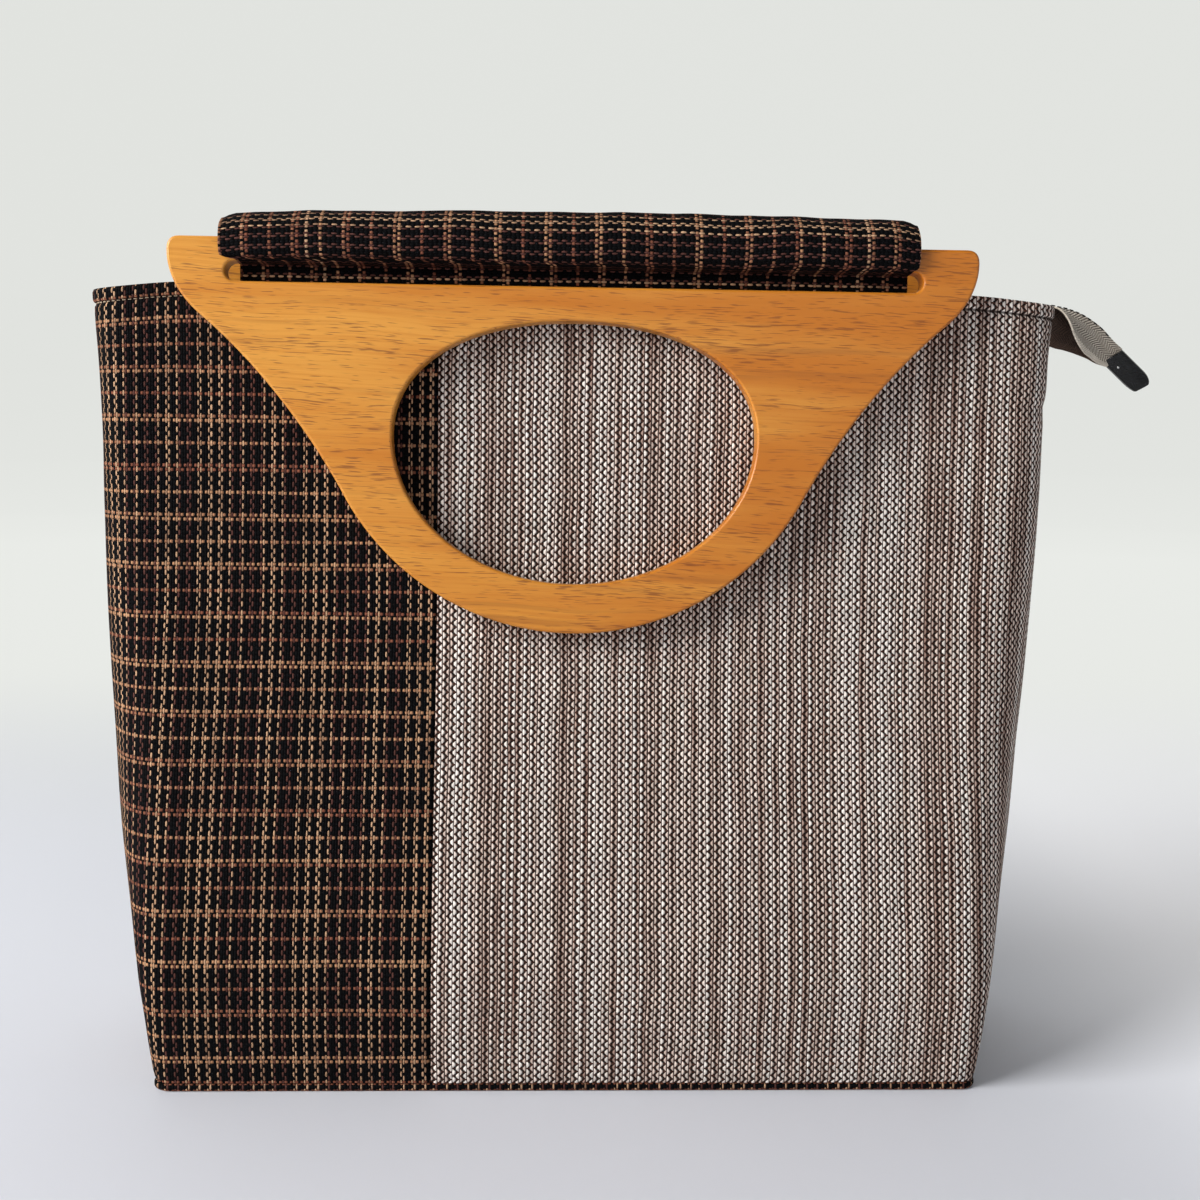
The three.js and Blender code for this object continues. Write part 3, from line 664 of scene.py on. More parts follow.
def flat_plate(name, outlines, thickness, edge):
    """Plate cut to outlines, lying from z = 0 to its thickness, with rounded edges."""
    fresh()
    bpy.ops.curve.primitive_bezier_circle_add()
    plate = newest(name)
    curve = plate.data
    curve.splines.clear()
    curve.dimensions = "2D"
    curve.fill_mode = "BOTH"
    curve.extrude = thickness / 2 - edge
    curve.bevel_depth = edge
    curve.bevel_resolution = 3
    curve.offset = -edge
    for outline in outlines:
        spline = curve.splines.new("POLY")
        spline.points.add(len(outline) - 1)
        for point, place in zip(spline.points, outline):
            point.co = (place.x, place.y, 0.0, 1.0)
        spline.use_cyclic_u = True
    activate(plate)
    bpy.ops.object.convert(target="MESH")
    plate = newest(name)
    plate.data.transform(Matrix.Translation((0, 0, thickness / 2)))
    edit(plate,
         lambda: bpy.ops.mesh.remove_doubles(threshold=0.01 * MM),
         lambda: bpy.ops.mesh.normals_make_consistent(inside=False))
    return plate


def hung_place(turned):
    """Place of a handle and its sleeve: leaning on the panel, its slot level with the rim."""
    sizes = bpy.context.scene.bag_handle
    slot_floor = sizes.height - sizes.bar - sizes.slot_height
    foot = RIM_HEIGHT - sizes.hang - slot_floor
    rise = RIM_HEIGHT - foot
    samples = 12
    bulge = 0.0
    for i in range(samples + 1):
        z = blend_between(foot, RIM_HEIGHT, i / samples)
        chord = blend_between(body_depth(foot), body_depth(RIM_HEIGHT), (z - foot) / rise)
        bulge = max(bulge, body_depth(z) - chord)
    lean = math.atan2(body_depth(foot) - body_depth(RIM_HEIGHT), rise)
    gap = bpy.context.scene.bag_body.seam_gap
    origin = Vector((0, -(body_depth(foot) + bulge + gap),
                     RIM_HEIGHT - sizes.hang - slot_floor * math.cos(lean)))
    place = Matrix.Translation(origin) @ Matrix.Rotation(math.pi / 2 - lean, 4, "X")
    return Matrix.Rotation(math.pi, 4, "Z") @ place if turned else place


def wooden_handle(suffix, turned):
    sizes = bpy.context.scene.bag_handle
    outlines = (handle_outline(sizes), hand_hole(sizes), slot_hole(sizes))
    plate = flat_plate(f"handle_wood_{suffix}", outlines, sizes.thickness, sizes.edge)
    plate.data.transform(hung_place(turned))
    smooth(plate, 35)
    shape_with(plate, "WEIGHTED_NORMAL", mode="FACE_AREA", weight=90, keep_sharp=True)
    return plate


def sleeve_section(sizes, belly, crown):
    """Inside of the sleeve's cloth: up the back, over the bar, down the front and under the bar."""
    gap = 0.4 * MM
    bar_floor = sizes.height - sizes.bar
    slot_floor = bar_floor - sizes.slot_height
    floor = bar_floor - 0.3 * MM
    front = sizes.thickness + sizes.front_slack * belly
    top = sizes.height + sizes.top_slack * crown
    slack = sizes.front_slack
    leg = slot_floor + sizes.hang + 0.3 * MM
    loop = spline_through([
        Vector((-gap, leg)),
        Vector((-gap, floor + sizes.bar * 0.5)),
        Vector((-gap, sizes.height + sizes.top_slack * 0.35)),
        Vector((sizes.thickness * 0.12, top - sizes.top_slack * 0.2)),
        Vector((sizes.thickness * 0.6, top)),
        Vector((front - slack * 0.35, top - sizes.top_slack * 0.5)),
        Vector((front, sizes.height - sizes.bar * 0.15)),
        Vector((front - slack * 0.25, bar_floor + sizes.bar * 0.25)),
        Vector((sizes.thickness + gap, floor + 0.2 * MM)),
        Vector((sizes.thickness * 0.6, floor)),
        Vector((sizes.thickness * 0.1, floor)),
    ], 6)
    return Track(loop)


def handle_sleeve(suffix, turned):
    """Cloth sleeve round the handle's bar, with its leg down to the rim of the bag."""
    sizes = bpy.context.scene.bag_handle
    half = sizes.slot_width / 2 - 0.3 * MM
    rows = []
    shift = 3.0 if turned else 0.0
    for across in spaced(-1, 1, 0.02, (0.003, 0.008)):
        belly = 1 + 0.16 * noise.noise(Vector((across * 3.1 + shift, 0.3, 0.2)))
        belly *= 1 - 0.25 * ease(0.9, 1.0, abs(across))
        crown = 1 + 0.04 * noise.noise(Vector((across * 6.2 + shift, 4.3, 0.2)))
        sink = sizes.arch * across ** 2 - (0.0 if turned else sizes.tilt * across)
        track = sleeve_section(sizes, belly, crown)
        row = []
        count = 64
        for i in range(count + 1):
            around = track.marks[-1] * i / count
            point, heading = track.at(around)
            above = min(max((point.y - sizes.height) / sizes.top_slack, 0.0), 1.0)
            in_slot = 1 - ease(sizes.height - sizes.bar, sizes.height - sizes.bar + 2 * MM, point.y)
            in_slot *= 1 - ease(sizes.thickness + 0.1 * MM, sizes.thickness + 2.6 * MM, point.x)
            reach = half - sizes.taper * in_slot
            slide = 0.0 if turned else -sizes.shift * (1 - in_slot)
            end_dip = 1.6 * MM * ease(0.965, 1.0, abs(across)) * above
            ripple = 0.35 * MM * noise.noise(Vector((across * 14 + shift, around * 120, 2.2)))
            ripple *= ease(0.0, 0.004, point.x - sizes.thickness * 0.3)
            out = point + Vector((-heading.y, heading.x)) * ripple
            place = Vector((across * reach + slide,
                            out.y - above * sink - end_dip, out.x))
            row.append((place, (around, across * half)))
        rows.append(row)
    middle = rows[len(rows) // 2][len(rows[0]) // 2]
    outward = Vector((0, 1, 0.2)) if middle[0].y > sizes.height else Vector((0, 0, 1))
    sleeve = grid_sheet(f"sleeve_cloth_{suffix}", rows, outward)
    shape_with(sleeve, "SOLIDIFY", thickness=sizes.cloth, offset=1.0, use_even_offset=True)
    shape_with(sleeve, "BEVEL", width=0.5 * MM, segments=3, limit_method="ANGLE",
               angle_limit=math.radians(55))
    sleeve.data.transform(hung_place(turned))
    smooth(sleeve, 50)
    return sleeve, rows


# Zip

def zip_tape(side):
    """Half of the zip's flat tape, a little wavy along its sewn edge."""
    sizes = bpy.context.scene.bag_zip
    inner = COIL_HIGH.y + 0.3 * MM
    outer = -TAPE_LOW.y
    level = (TAPE_LOW.z + TAPE_HIGH.z) / 2
    rows = []
    for x in spaced(TAPE_LOW.x, TAPE_HIGH.x, 3 * MM, ()):
        row = []
        steps = 10
        for i in range(steps + 1):
            across = blend_between(inner, outer, i / steps)
            wave = 0.35 * MM * noise.noise(Vector((x * 26, side * 3.0, across * 40))) * i / steps
            row.append((Vector((x, side * across, level + sizes.tape / 2 + wave)), (across, x)))
        rows.append(row)
    suffix = "front" if side < 0 else "back"
    tape = grid_sheet(f"tape_cloth_{suffix}", rows, Vector((0, 0, 1)))
    shape_with(tape, "SOLIDIFY", thickness=sizes.tape, offset=-1.0)
    smooth(tape, 50)
    return tape, rows


def zip_teeth():
    """Closed row of interlocking teeth, each a rounded bar across the zip."""
    sizes = bpy.context.scene.bag_zip
    pitch = sizes.tooth_pitch
    size = COIL_HIGH - COIL_LOW
    fresh()
    bpy.ops.mesh.primitive_cylinder_add(vertices=10, radius=pitch * 0.36, depth=size.y * 0.92,
                                        rotation=(math.pi / 2, 0, 0))
    tooth = newest("coil_teeth")
    tooth.scale.z = size.z / (pitch * 0.76)
    bpy.ops.object.transform_apply(location=True, rotation=True, scale=True)
    shape_with(tooth, "BEVEL", width=0.25 * MM, segments=2, limit_method="ANGLE",
               angle_limit=math.radians(50))
    count = int(size.x / pitch)
    tooth.data.transform(Matrix.Translation(
        (COIL_LOW.x + pitch / 2, 0, (COIL_LOW.z + COIL_HIGH.z) / 2)))
    shape_with(tooth, "ARRAY", count=count, use_relative_offset=False,
               use_constant_offset=True, constant_offset_displace=(pitch, 0, 0))
    smooth(tooth, 40)
    return tooth


def zip_slider():
    """Slider with its pull lying towards the tail."""
    sizes = bpy.context.scene.bag_zip
    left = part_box("zip_slider")[0].x
    level = (TAPE_LOW.z + TAPE_HIGH.z) / 2
    parts = []
    middle = left + sizes.slider_length / 2

    def block(place, size, rounding, segments=3):
        fresh()
        bpy.ops.mesh.primitive_cube_add(size=1, location=place)
        piece = newest("slider_part")
        piece.scale = size
        bpy.ops.object.transform_apply(location=True, rotation=True, scale=True)
        shape_with(piece, "BEVEL", width=rounding, segments=segments)
        parts.append(piece)
        return piece

    plate = (sizes.slider_length, sizes.slider_width, 1.2 * MM)
    for way in (-1, 1):
        wing = block((middle, 0, level + way * 1.5 * MM), plate, 0.5 * MM)
        for vertex in wing.data.vertices:
            nose = ease(middle, left + sizes.slider_length, vertex.co.x)
            vertex.co.y *= 1 - 0.3 * nose
    block((middle, 0, level), (sizes.slider_length * 0.5, 1.6 * MM, 3.6 * MM), 0.4 * MM)
    bridge = block((left + sizes.slider_length * 0.55, 0, level + 3.0 * MM),
                   (sizes.slider_length * 0.5, 1.8 * MM, 2.2 * MM), 0.8 * MM, 4)
    bridge.name = "slider_bridge"
    tip = sizes.pull_length - sizes.pull_width / 2
    outline = [Vector((0, -sizes.pull_width * 0.35))]
    for i in range(17):
        angle = math.radians(-90 + 180 * i / 16)
        outline.append(Vector((tip + math.cos(angle) * sizes.pull_width / 2,
                               math.sin(angle) * sizes.pull_width / 2)))
    outline.append(Vector((0, sizes.pull_width * 0.35)))
    holes = [outline]
    for centre, radius in ((2.0 * MM, 1.2 * MM), (tip, 1.5 * MM)):
        holes.append([Vector((centre + radius * math.cos(a), radius * math.sin(a)))
                      for a in (math.radians(20 * k) for k in range(18))])
    pull = flat_plate("slider_pull", holes, 1.1 * MM, 0.3 * MM)
    pull.data.transform(Matrix.Translation((left + sizes.slider_length * 0.5, 0, level + 2.35 * MM)))
    parts.append(pull)
    fresh()
    for piece in parts:
        piece.select_set(True)
    bpy.context.view_layer.objects.active = parts[0]
    bpy.ops.object.join()
    slider = newest("slider_metal")
    smooth(slider, 35)
    return slider


def leaf_direction(opening, lean, side):
    """Direction down a leaf of the folded tail."""
    open_angle, lean_angle = math.radians(opening), math.radians(lean)
    down = Vector((-math.sin(lean_angle), 0, -math.cos(lean_angle)))
    return down * math.cos(open_angle) + Vector((0, side, 0)) * math.sin(open_angle)


def tail_station(share):
    """Fold point and leaf values at a share of the tail's reach."""
    sizes = bpy.context.scene.bag_zip
    exit_height = RIM_HEIGHT - bpy.context.scene.bag_body.rim_dip + 0.4 * MM
    values = {name: column_at(TAIL_STATIONS, "reach", name, share) for name in
              ("drop", "front", "back", "flap", "leaf", "lean")}
    start = HALF_TOP + bpy.context.scene.bag_body.skew
    fold = Vector((start + share * sizes.reach, 0, exit_height - values["drop"] * sizes.drop))
    return fold, values


def zip_tail():
    """End of the zip, folded along its teeth, with its front leaf flared."""
    sizes = bpy.context.scene.bag_zip
    rows = []
    travelled = 0.0
    last = None
    steps = 60
    across_steps = 9
    for i in range(steps + 1):
        share = blend_between(-0.3, 1.0, i / steps)
        fold, values = tail_station(share)
        travelled += (fold - last).length if last else 0.0
        last = fold
        row = []
        for side, opening, share_of_leaf in ((-1, values["front"], values["flap"]),
                                             (1, values["back"], values["leaf"])):
            leaf = share_of_leaf * sizes.leaf
            direction = leaf_direction(opening, values["lean"], side)
            marks = range(across_steps, 0, -1) if side < 0 else range(0, across_steps + 1)
            for k in marks:
                t = k / across_steps
                spread = math.sin(t * math.pi) * 0.7 * MM * (0.3 + opening / 60)
                bow = Vector((0, side, 0)) * (0.5 * MM * min(1.0, t * 6) + spread * 0.6)
                row.append((fold + direction * leaf * t + bow + Vector((0, 0, -0.2 * MM * (t > 0))),
                            (side * t * sizes.leaf, travelled)))
        rows.append(row)
    tail = grid_sheet("tail_tape", rows, Vector((0.3, 0, 1)))
    if tail.data.polygons[across_steps // 2].normal.y > 0:
        edit(tail, lambda: bpy.ops.mesh.flip_normals())
    two_sided(tail)
    shape_with(tail, "SOLIDIFY", thickness=sizes.tape * 0.7, offset=-1.0, material_offset=1)
    smooth(tail, 60)
    return tail, rows


def tail_teeth():
    """Dark teeth that show as dashes on the fold of the tail, fading towards the cap."""
    fresh()
    bpy.ops.mesh.primitive_cylinder_add(vertices=10, radius=0.42 * MM, depth=1.7 * MM,
                                        rotation=(0, math.pi / 2, 0))
    dash = newest("dash")
    bpy.ops.object.transform_apply(location=True, rotation=True, scale=True)
    shape_with(dash, "BEVEL", width=0.2 * MM, segments=2, limit_method="ANGLE",
               angle_limit=math.radians(50))
    places = []
    count = 10
    for i in range(count):
        share = 0.03 + i * 0.083
        fold, _ = tail_station(share)
        ahead, _ = tail_station(share + 0.01)
        tilt = math.atan2(fold.z - ahead.z, ahead.x - fold.x)
        sink = 0.08 * MM * i
        places.append(Matrix.Translation(fold + Vector((0, 0, 0.1 * MM - sink)))
                      @ Matrix.Rotation(tilt, 4, "Y"))
    teeth = copies_of(dash, "tail_teeth", places)
    smooth(teeth, 40)
    return teeth


def cap_place():
    """Frame of the end cap: X down across it, Y out to the back, Z along the tail."""
    sizes = bpy.context.scene.bag_zip
    fold, values = tail_station(1.0)
    down = leaf_direction(0, values["lean"], 1)
    along = Vector((-down.z, 0, down.x))
    out = along.cross(down)
    origin = fold + down * values["leaf"] * sizes.leaf / 2 - along * 1.2 * MM
    turn = Matrix((down, out, along)).transposed().to_4x4()
    return Matrix.Translation(origin) @ turn


def end_cap():
    """Glossy cap crimped on the tail: two long facets and a rounded outer end."""
    sizes = bpy.context.scene.bag_zip
    fresh()
    bpy.ops.mesh.primitive_cylinder_add(vertices=len(CAP_SECTION), radius=1,
                                        depth=sizes.cap_length)
    cap = newest("cap_shell")
    for vertex in cap.data.vertices:
        angle = math.atan2(vertex.co.x, vertex.co.y) % (2 * math.pi)
        index = round(angle / (2 * math.pi / len(CAP_SECTION))) % len(CAP_SECTION)
        across, out = CAP_SECTION[index]
        vertex.co.x = across * sizes.cap_width
        vertex.co.y = out * sizes.cap_thickness
        vertex.co.z += sizes.cap_length / 2
    cuts = (0.7, 0.8, 0.88, 0.94, 0.98)
    for cut in cuts:
        edit(cap, lambda: bpy.ops.mesh.bisect(plane_co=(0, 0, cut * sizes.cap_length),
                                              plane_no=(0, 0, 1)))
    for vertex in cap.data.vertices:
        nose = max(0.0, (vertex.co.z / sizes.cap_length - 0.7) / 0.3)
        shrink = math.sqrt(1 - 0.85 * nose * nose)
        vertex.co.x *= shrink if vertex.co.x < 0 else 0.7 + 0.3 * shrink
        vertex.co.y *= 0.55 + 0.45 * shrink
        vertex.co.z -= 0.29 * vertex.co.x
    edit(cap, lambda: bpy.ops.mesh.normals_make_consistent(inside=False))
    shape_with(cap, "BEVEL", width=0.4 * MM, segments=3, limit_method="ANGLE",
               angle_limit=math.radians(26))
    cap.data.transform(cap_place())
    smooth(cap, 30)
    return cap


def cap_rivet():
    """Tiny bright rivet on the lower facet of the cap."""
    sizes = bpy.context.scene.bag_zip
    fresh()
    bpy.ops.mesh.primitive_uv_sphere_add(segments=16, ring_count=8, radius=0.5 * MM)
    rivet = newest("cap_rivet")
    rivet.scale = (1, 0.6, 1)
    bpy.ops.object.transform_apply(scale=True)
    rivet.data.transform(Matrix.Translation(
        (0.25 * sizes.cap_width, -0.4 * sizes.cap_thickness, 0.25 * sizes.cap_length)))
    rivet.data.transform(cap_place())
    smooth(rivet, 60)
    return rivet


def hem_stitches(rows, name, seed):
    """Row of short stitches on the hem's lower edge."""
    sizes = bpy.context.scene.bag_body
    hem = RIM_HEIGHT - sizes.hem + 0.2 * MM
    heights = panel_heights()
    index = min(range(len(heights)), key=lambda k: abs(heights[k] - hem))
    track = Track([place for place, _ in rows[index]])
    fresh()
    bpy.ops.mesh.primitive_cylinder_add(vertices=8, radius=0.2 * MM, depth=1.3 * MM,
                                        rotation=(0, math.pi / 2, 0))
    stitch = newest("stitch")
    bpy.ops.object.transform_apply(location=True, rotation=True, scale=True)
    shape_with(stitch, "BEVEL", width=0.12 * MM, segments=2, limit_method="ANGLE",
               angle_limit=math.radians(50))
    places = []
    pitch = 2.1 * MM
    for k in range(int((track.marks[-1] - 4 * MM) / pitch)):
        point, heading = track.at(2 * MM + k * pitch)
        jitter = 0.12 * MM * noise.noise(Vector((k * 0.9, seed, 0.5)))
        turn = Vector((1, 0, 0)).rotation_difference(heading).to_matrix().to_4x4()
        places.append(Matrix.Translation(point + Vector((0, 0, jitter))) @ turn)
    row = copies_of(stitch, name, places)
    smooth(row, 50)
    return row


# Materials

class Finish:
    """A material, with one short call for each kind of node."""

    def __init__(self, name, roughness, **constants):
        self.material = bpy.data.materials.new(name)
        self.material.use_nodes = True
        self.tree = self.material.node_tree
        self.shader = self.tree.nodes["Principled BSDF"]
        self.shader.inputs["Roughness"].default_value = roughness
        for socket, value in constants.items():
            self.shader.inputs[socket.replace("_", " ")].default_value = value

    def feed(self, socket, value):
        if isinstance(value, bpy.types.NodeSocket):
            self.tree.links.new(value, socket)
        elif value is not None:
            socket.default_value = value

    def node(self, kind, **settings):
        made = self.tree.nodes.new(f"ShaderNode{kind}")
        for name, value in settings.items():
            setattr(made, name, value)
        return made

    def math(self, operation, a, b=None, c=None):
        made = self.node("Math", operation=operation)
        for socket, value in zip(made.inputs, (a, b, c)):
            self.feed(socket, value)
        return made.outputs[0]

    def span(self, value, low, high, to_low=0.0, to_high=1.0):
        made = self.node("MapRange", interpolation_type="SMOOTHSTEP")
        for socket, given in zip(made.inputs, (value, low, high, to_low, to_high)):
            self.feed(socket, given)
        return made.outputs[0]

    def mix(self, share, a, b, blend="MIX"):
        made = self.node("Mix", data_type="RGBA", blend_type=blend)
        self.feed(made.inputs[0], share)
        for socket, value in zip((made.inputs[6], made.inputs[7]), (a, b)):
            self.feed(socket, (*value, 1.0) if isinstance(value, tuple) else value)
        return made.outputs[2]

    def ramp(self, value, stops, interpolation="LINEAR"):
        """stops: (place, colour) or (place, colour, alpha) from low to high."""
        made = self.node("ValToRGB")
        made.color_ramp.interpolation = interpolation
        elements = made.color_ramp.elements
        while len(elements) < len(stops):
            elements.new(0.5)
        for element, stop in zip(elements, stops):
            element.position = stop[0]
            element.color = (*stop[1], stop[2] if len(stop) > 2 else 1.0)
        self.feed(made.inputs[0], value)
        return made.outputs

    def noise(self, vector, scale, detail=2.0, roughness=0.5):
        made = self.node("TexNoise")
        self.feed(made.inputs["Vector"], vector)
        made.inputs["Scale"].default_value = scale
        made.inputs["Detail"].default_value = detail
        made.inputs["Roughness"].default_value = roughness
        return made.outputs[0]

    def white(self, x, y=None):
        """Random number for each whole x, or each whole x and y."""
        made = self.node("TexWhiteNoise", noise_dimensions="1D" if y is None else "2D")
        if y is None:
            self.feed(made.inputs["W"], x)
        else:
            self.feed(made.inputs["Vector"], self.vector(x, y, 0.0))
        return made.outputs["Value"]

    def vector(self, x, y, z):
        made = self.node("CombineXYZ")
        for socket, value in zip(made.inputs, (x, y, z)):
            self.feed(socket, value)
        return made.outputs[0]

    def parts(self, vector):
        made = self.node("SeparateXYZ")
        self.feed(made.inputs[0], vector)
        return made.outputs

    def surface(self):
        """Object coordinates."""
        return self.node("TexCoord").outputs["Object"]

    def cloth(self):
        """The piece's own UV map, in metres of cloth."""
        return self.node("UVMap", uv_map="UVMap").outputs[0]

    def stretched(self, vector, x, y, z):
        made = self.node("Mapping")
        self.feed(made.inputs["Vector"], vector)
        made.inputs["Scale"].default_value = (x, y, z)
        return made.outputs[0]

    def paint(self, colour, height=None, depth=0.0003, strength=1.0, roughness=None):
        self.feed(self.shader.inputs["Base Color"], colour)
        if roughness is not None:
            self.feed(self.shader.inputs["Roughness"], roughness)
        if height is not None:
            bump = self.node("Bump")
            bump.inputs["Strength"].default_value = strength
            bump.inputs["Distance"].default_value = depth
            self.feed(bump.inputs["Height"], height)
            self.feed(self.shader.inputs["Normal"], bump.outputs[0])
        return self.material


# Sizes of a weave. end and pick: distances between threads. weft: width of the cross threads as
# a share of their distance. rise: how far the lengthwise threads lie above the cross threads.
# sway: how far lengthwise threads bend to their partner, in threads. wander: how far threads
# stray. dark: brightness of the painted shade in the hollows and at the sides of each thread.
# tip: width of a lengthwise thread where it dips under, as a share of its width on top.
Weave = namedtuple("Weave", "end pick weft rise sway wander end_shift pick_shift dark tip")


def plain_weave(finish, weave, warp_look, weft_look):
    """Colour and height of a plain weave on the cloth's UV map. The colour carries painted shade at the
    sides of each thread and in the hollows between threads.

    warp_look(end, along) and weft_look(pick, along) give a thread's colour, and warp_look its
    width as well.
    """
    u, v, _ = finish.parts(finish.cloth())
    drift = finish.noise(finish.cloth(), 38.0, 2.0)
    drift_up = finish.noise(finish.stretched(finish.cloth(), 1.0, 0.8, 1.0), 31.0, 1.0)
    across = finish.math("DIVIDE", finish.math("ADD", u, weave.end_shift), weave.end)
    across = finish.math("MULTIPLY_ADD", drift, weave.wander, across)
    up = finish.math("DIVIDE", finish.math("ADD", v, weave.pick_shift), weave.pick)
    up = finish.math("MULTIPLY_ADD", drift_up, weave.wander * 0.9, up)
    end = finish.math("FLOOR", across)
    pick = finish.math("FLOOR", up)
    beside = finish.math("SUBTRACT", finish.math("FRACT", across), 0.5)
    above = finish.math("SUBTRACT", finish.math("FRACT", up), 0.5)
    warp_colour, warp_width = warp_look(end, v)
    weft_colour = weft_look(pick, u)

    def wave(other, line):
        return finish.math("COSINE", finish.math("MULTIPLY", finish.math(
            "ADD", finish.math("SUBTRACT", other, 0.5), line), math.pi))

    def round_top(offset, width):
        edge = finish.math("DIVIDE", finish.math("MULTIPLY", offset, 2.0), width)
        return finish.math("MULTIPLY_ADD", finish.math("MULTIPLY", edge, edge), -0.5, 0.5)

    warp_wave = wave(up, end)
    partner = finish.math("MULTIPLY_ADD", finish.math("FLOORED_MODULO", end, 2.0), 2.0, -1.0)
    bend = finish.math("MULTIPLY", finish.math("SUBTRACT", 1.0, warp_wave), weave.sway / 2)
    taper = finish.span(warp_wave, -0.5, 0.8, weave.tip, 1.0)
    warp_top = round_top(finish.math("MULTIPLY_ADD", partner, bend, beside),
                         finish.math("MULTIPLY", warp_width, taper))
    weft_top = round_top(above, weave.weft)
    warp_height = finish.math("MULTIPLY_ADD", warp_wave, 0.5,
                              finish.math("ADD", warp_top, weave.rise))
    weft_height = finish.math("MULTIPLY_ADD", wave(across, pick), -0.5, weft_top)
    warp_on_top = finish.span(finish.math("SUBTRACT", warp_height, weft_height), -0.08, 0.08)
    height = finish.math("MAXIMUM", finish.math("MAXIMUM", warp_height, weft_height), -0.3)
    # Painted shade: each thread's colour darkens towards its sides, down to weave.dark, and towards black
    # between threads.
    warp_shade = finish.span(warp_top, -0.12, 0.34, weave.dark, 1.0)
    weft_shade = finish.span(weft_top, -0.12, 0.34, weave.dark, 1.0)
    colour = finish.mix(warp_on_top,
                        finish.mix(weft_shade, (0.0, 0.0, 0.0), weft_colour),
                        finish.mix(warp_shade, (0.0, 0.0, 0.0), warp_colour))
    speck = finish.white(end, pick)
    # Painted shade in the hollows, darker where the weave lies lower, times a random tone for each
    # crossing.
    painted_shade_and_speck = finish.math("MULTIPLY", finish.span(height, -0.2, 0.7, 0.4, 1.0),
                        finish.span(speck, 0.0, 1.0, 0.8, 1.12))
    return finish.mix(1.0, colour, finish.vector(painted_shade_and_speck, painted_shade_and_speck, painted_shade_and_speck), "MULTIPLY"), height


def check_material(name, end_shift, pick_shift, lines, loose_threads=(), hem=None):
    """Black cloth with paired coloured threads lengthwise, and single and double ones across."""
    colours = bpy.context.scene.bag_cloth
    finish = Finish(name, 0.8, Specular_IOR_Level=0.06)
    black, tan, russet, cross, rust = (tuple(c) for c in (
        colours.ground, colours.tan, colours.russet, colours.cross, colours.rust))
    unit = 4
    looks = {"thin": (tan, 0.6), "strong": (tan, 0.86), "tan": (tan, 0.74), "dim": (russet, 0.76),
             "faint": (tuple(c * 0.5 for c in russet), 0.7)}
    stops = [(i / len(lines), *looks[line]) for i, line in enumerate(lines)]

    def warp(end, along):
        place = finish.math("FLOORED_MODULO", end, float(unit))
        coloured = finish.math("LESS_THAN", place, 1.5)
        line = finish.math("FLOORED_MODULO", finish.math("DIVIDE", end, float(unit)), 10.0)
        look, weight = finish.ramp(finish.math("DIVIDE", line, 10.0), stops, "CONSTANT")
        row = finish.math("MULTIPLY", finish.math("FLOOR", line), 5.3)
        patch = finish.noise(finish.vector(row, finish.math("MULTIPLY", along, 90.0), 0.0), 0.5, 1.0)
        toned = finish.mix(finish.span(patch, 0.42, 0.72, 0.0, 0.6), look, russet)
        colour = finish.mix(coloured, black, toned)
        width = finish.math("MULTIPLY", finish.math(
            "MULTIPLY_ADD", finish.math("MULTIPLY", coloured, finish.math("SUBTRACT", weight, 1.0)),
            1.0, 1.0), 0.98)
        return colour, width

    def weft(pick, along):
        place = finish.math("FLOORED_MODULO", pick, 11.0)
        single = finish.math("LESS_THAN", place, 0.5)
        double = finish.math("COMPARE", place, 5.5, 0.6)
        coloured = finish.math("MAXIMUM", single, double)
        tone = finish.white(finish.math("ADD", pick, 0.37))
        patch = finish.noise(finish.vector(finish.math("MULTIPLY", along, 60.0), pick, 3.0), 0.5, 1.0)
        mixed = finish.math("MULTIPLY", finish.math("ADD", tone, patch), 0.5)
        toned = finish.mix(finish.span(mixed, 0.3, 0.7), cross, rust)
        colour = finish.mix(coloured, black, toned)
        for number in loose_threads:
            loose = finish.math("COMPARE", pick, float(number), 0.5)
            colour = finish.mix(loose, colour, tan)
        return colour

    weave = Weave(colours.check_end, colours.check_pick, 0.7, 0.08, 0.06, 0.5, end_shift,
                  pick_shift, 0.1, 0.8)
    colour, height = plain_weave(finish, weave, warp, weft)
    if hem is not None:
        colour = hem_shadow(finish, colour, hem)
    return finish.paint(colour, height, 0.42 * MM, 0.9)


def hem_shadow(finish, colour, hem):
    """Paints a dark shadow line on the cloth along the lower edge of the hem."""
    off = finish.math("ABSOLUTE", finish.math("SUBTRACT", finish.parts(finish.cloth())[1], hem))
    return finish.mix(finish.span(off, 0.2 * MM, 0.7 * MM, 0.8, 0.0), colour, (0.008, 0.006, 0.005))


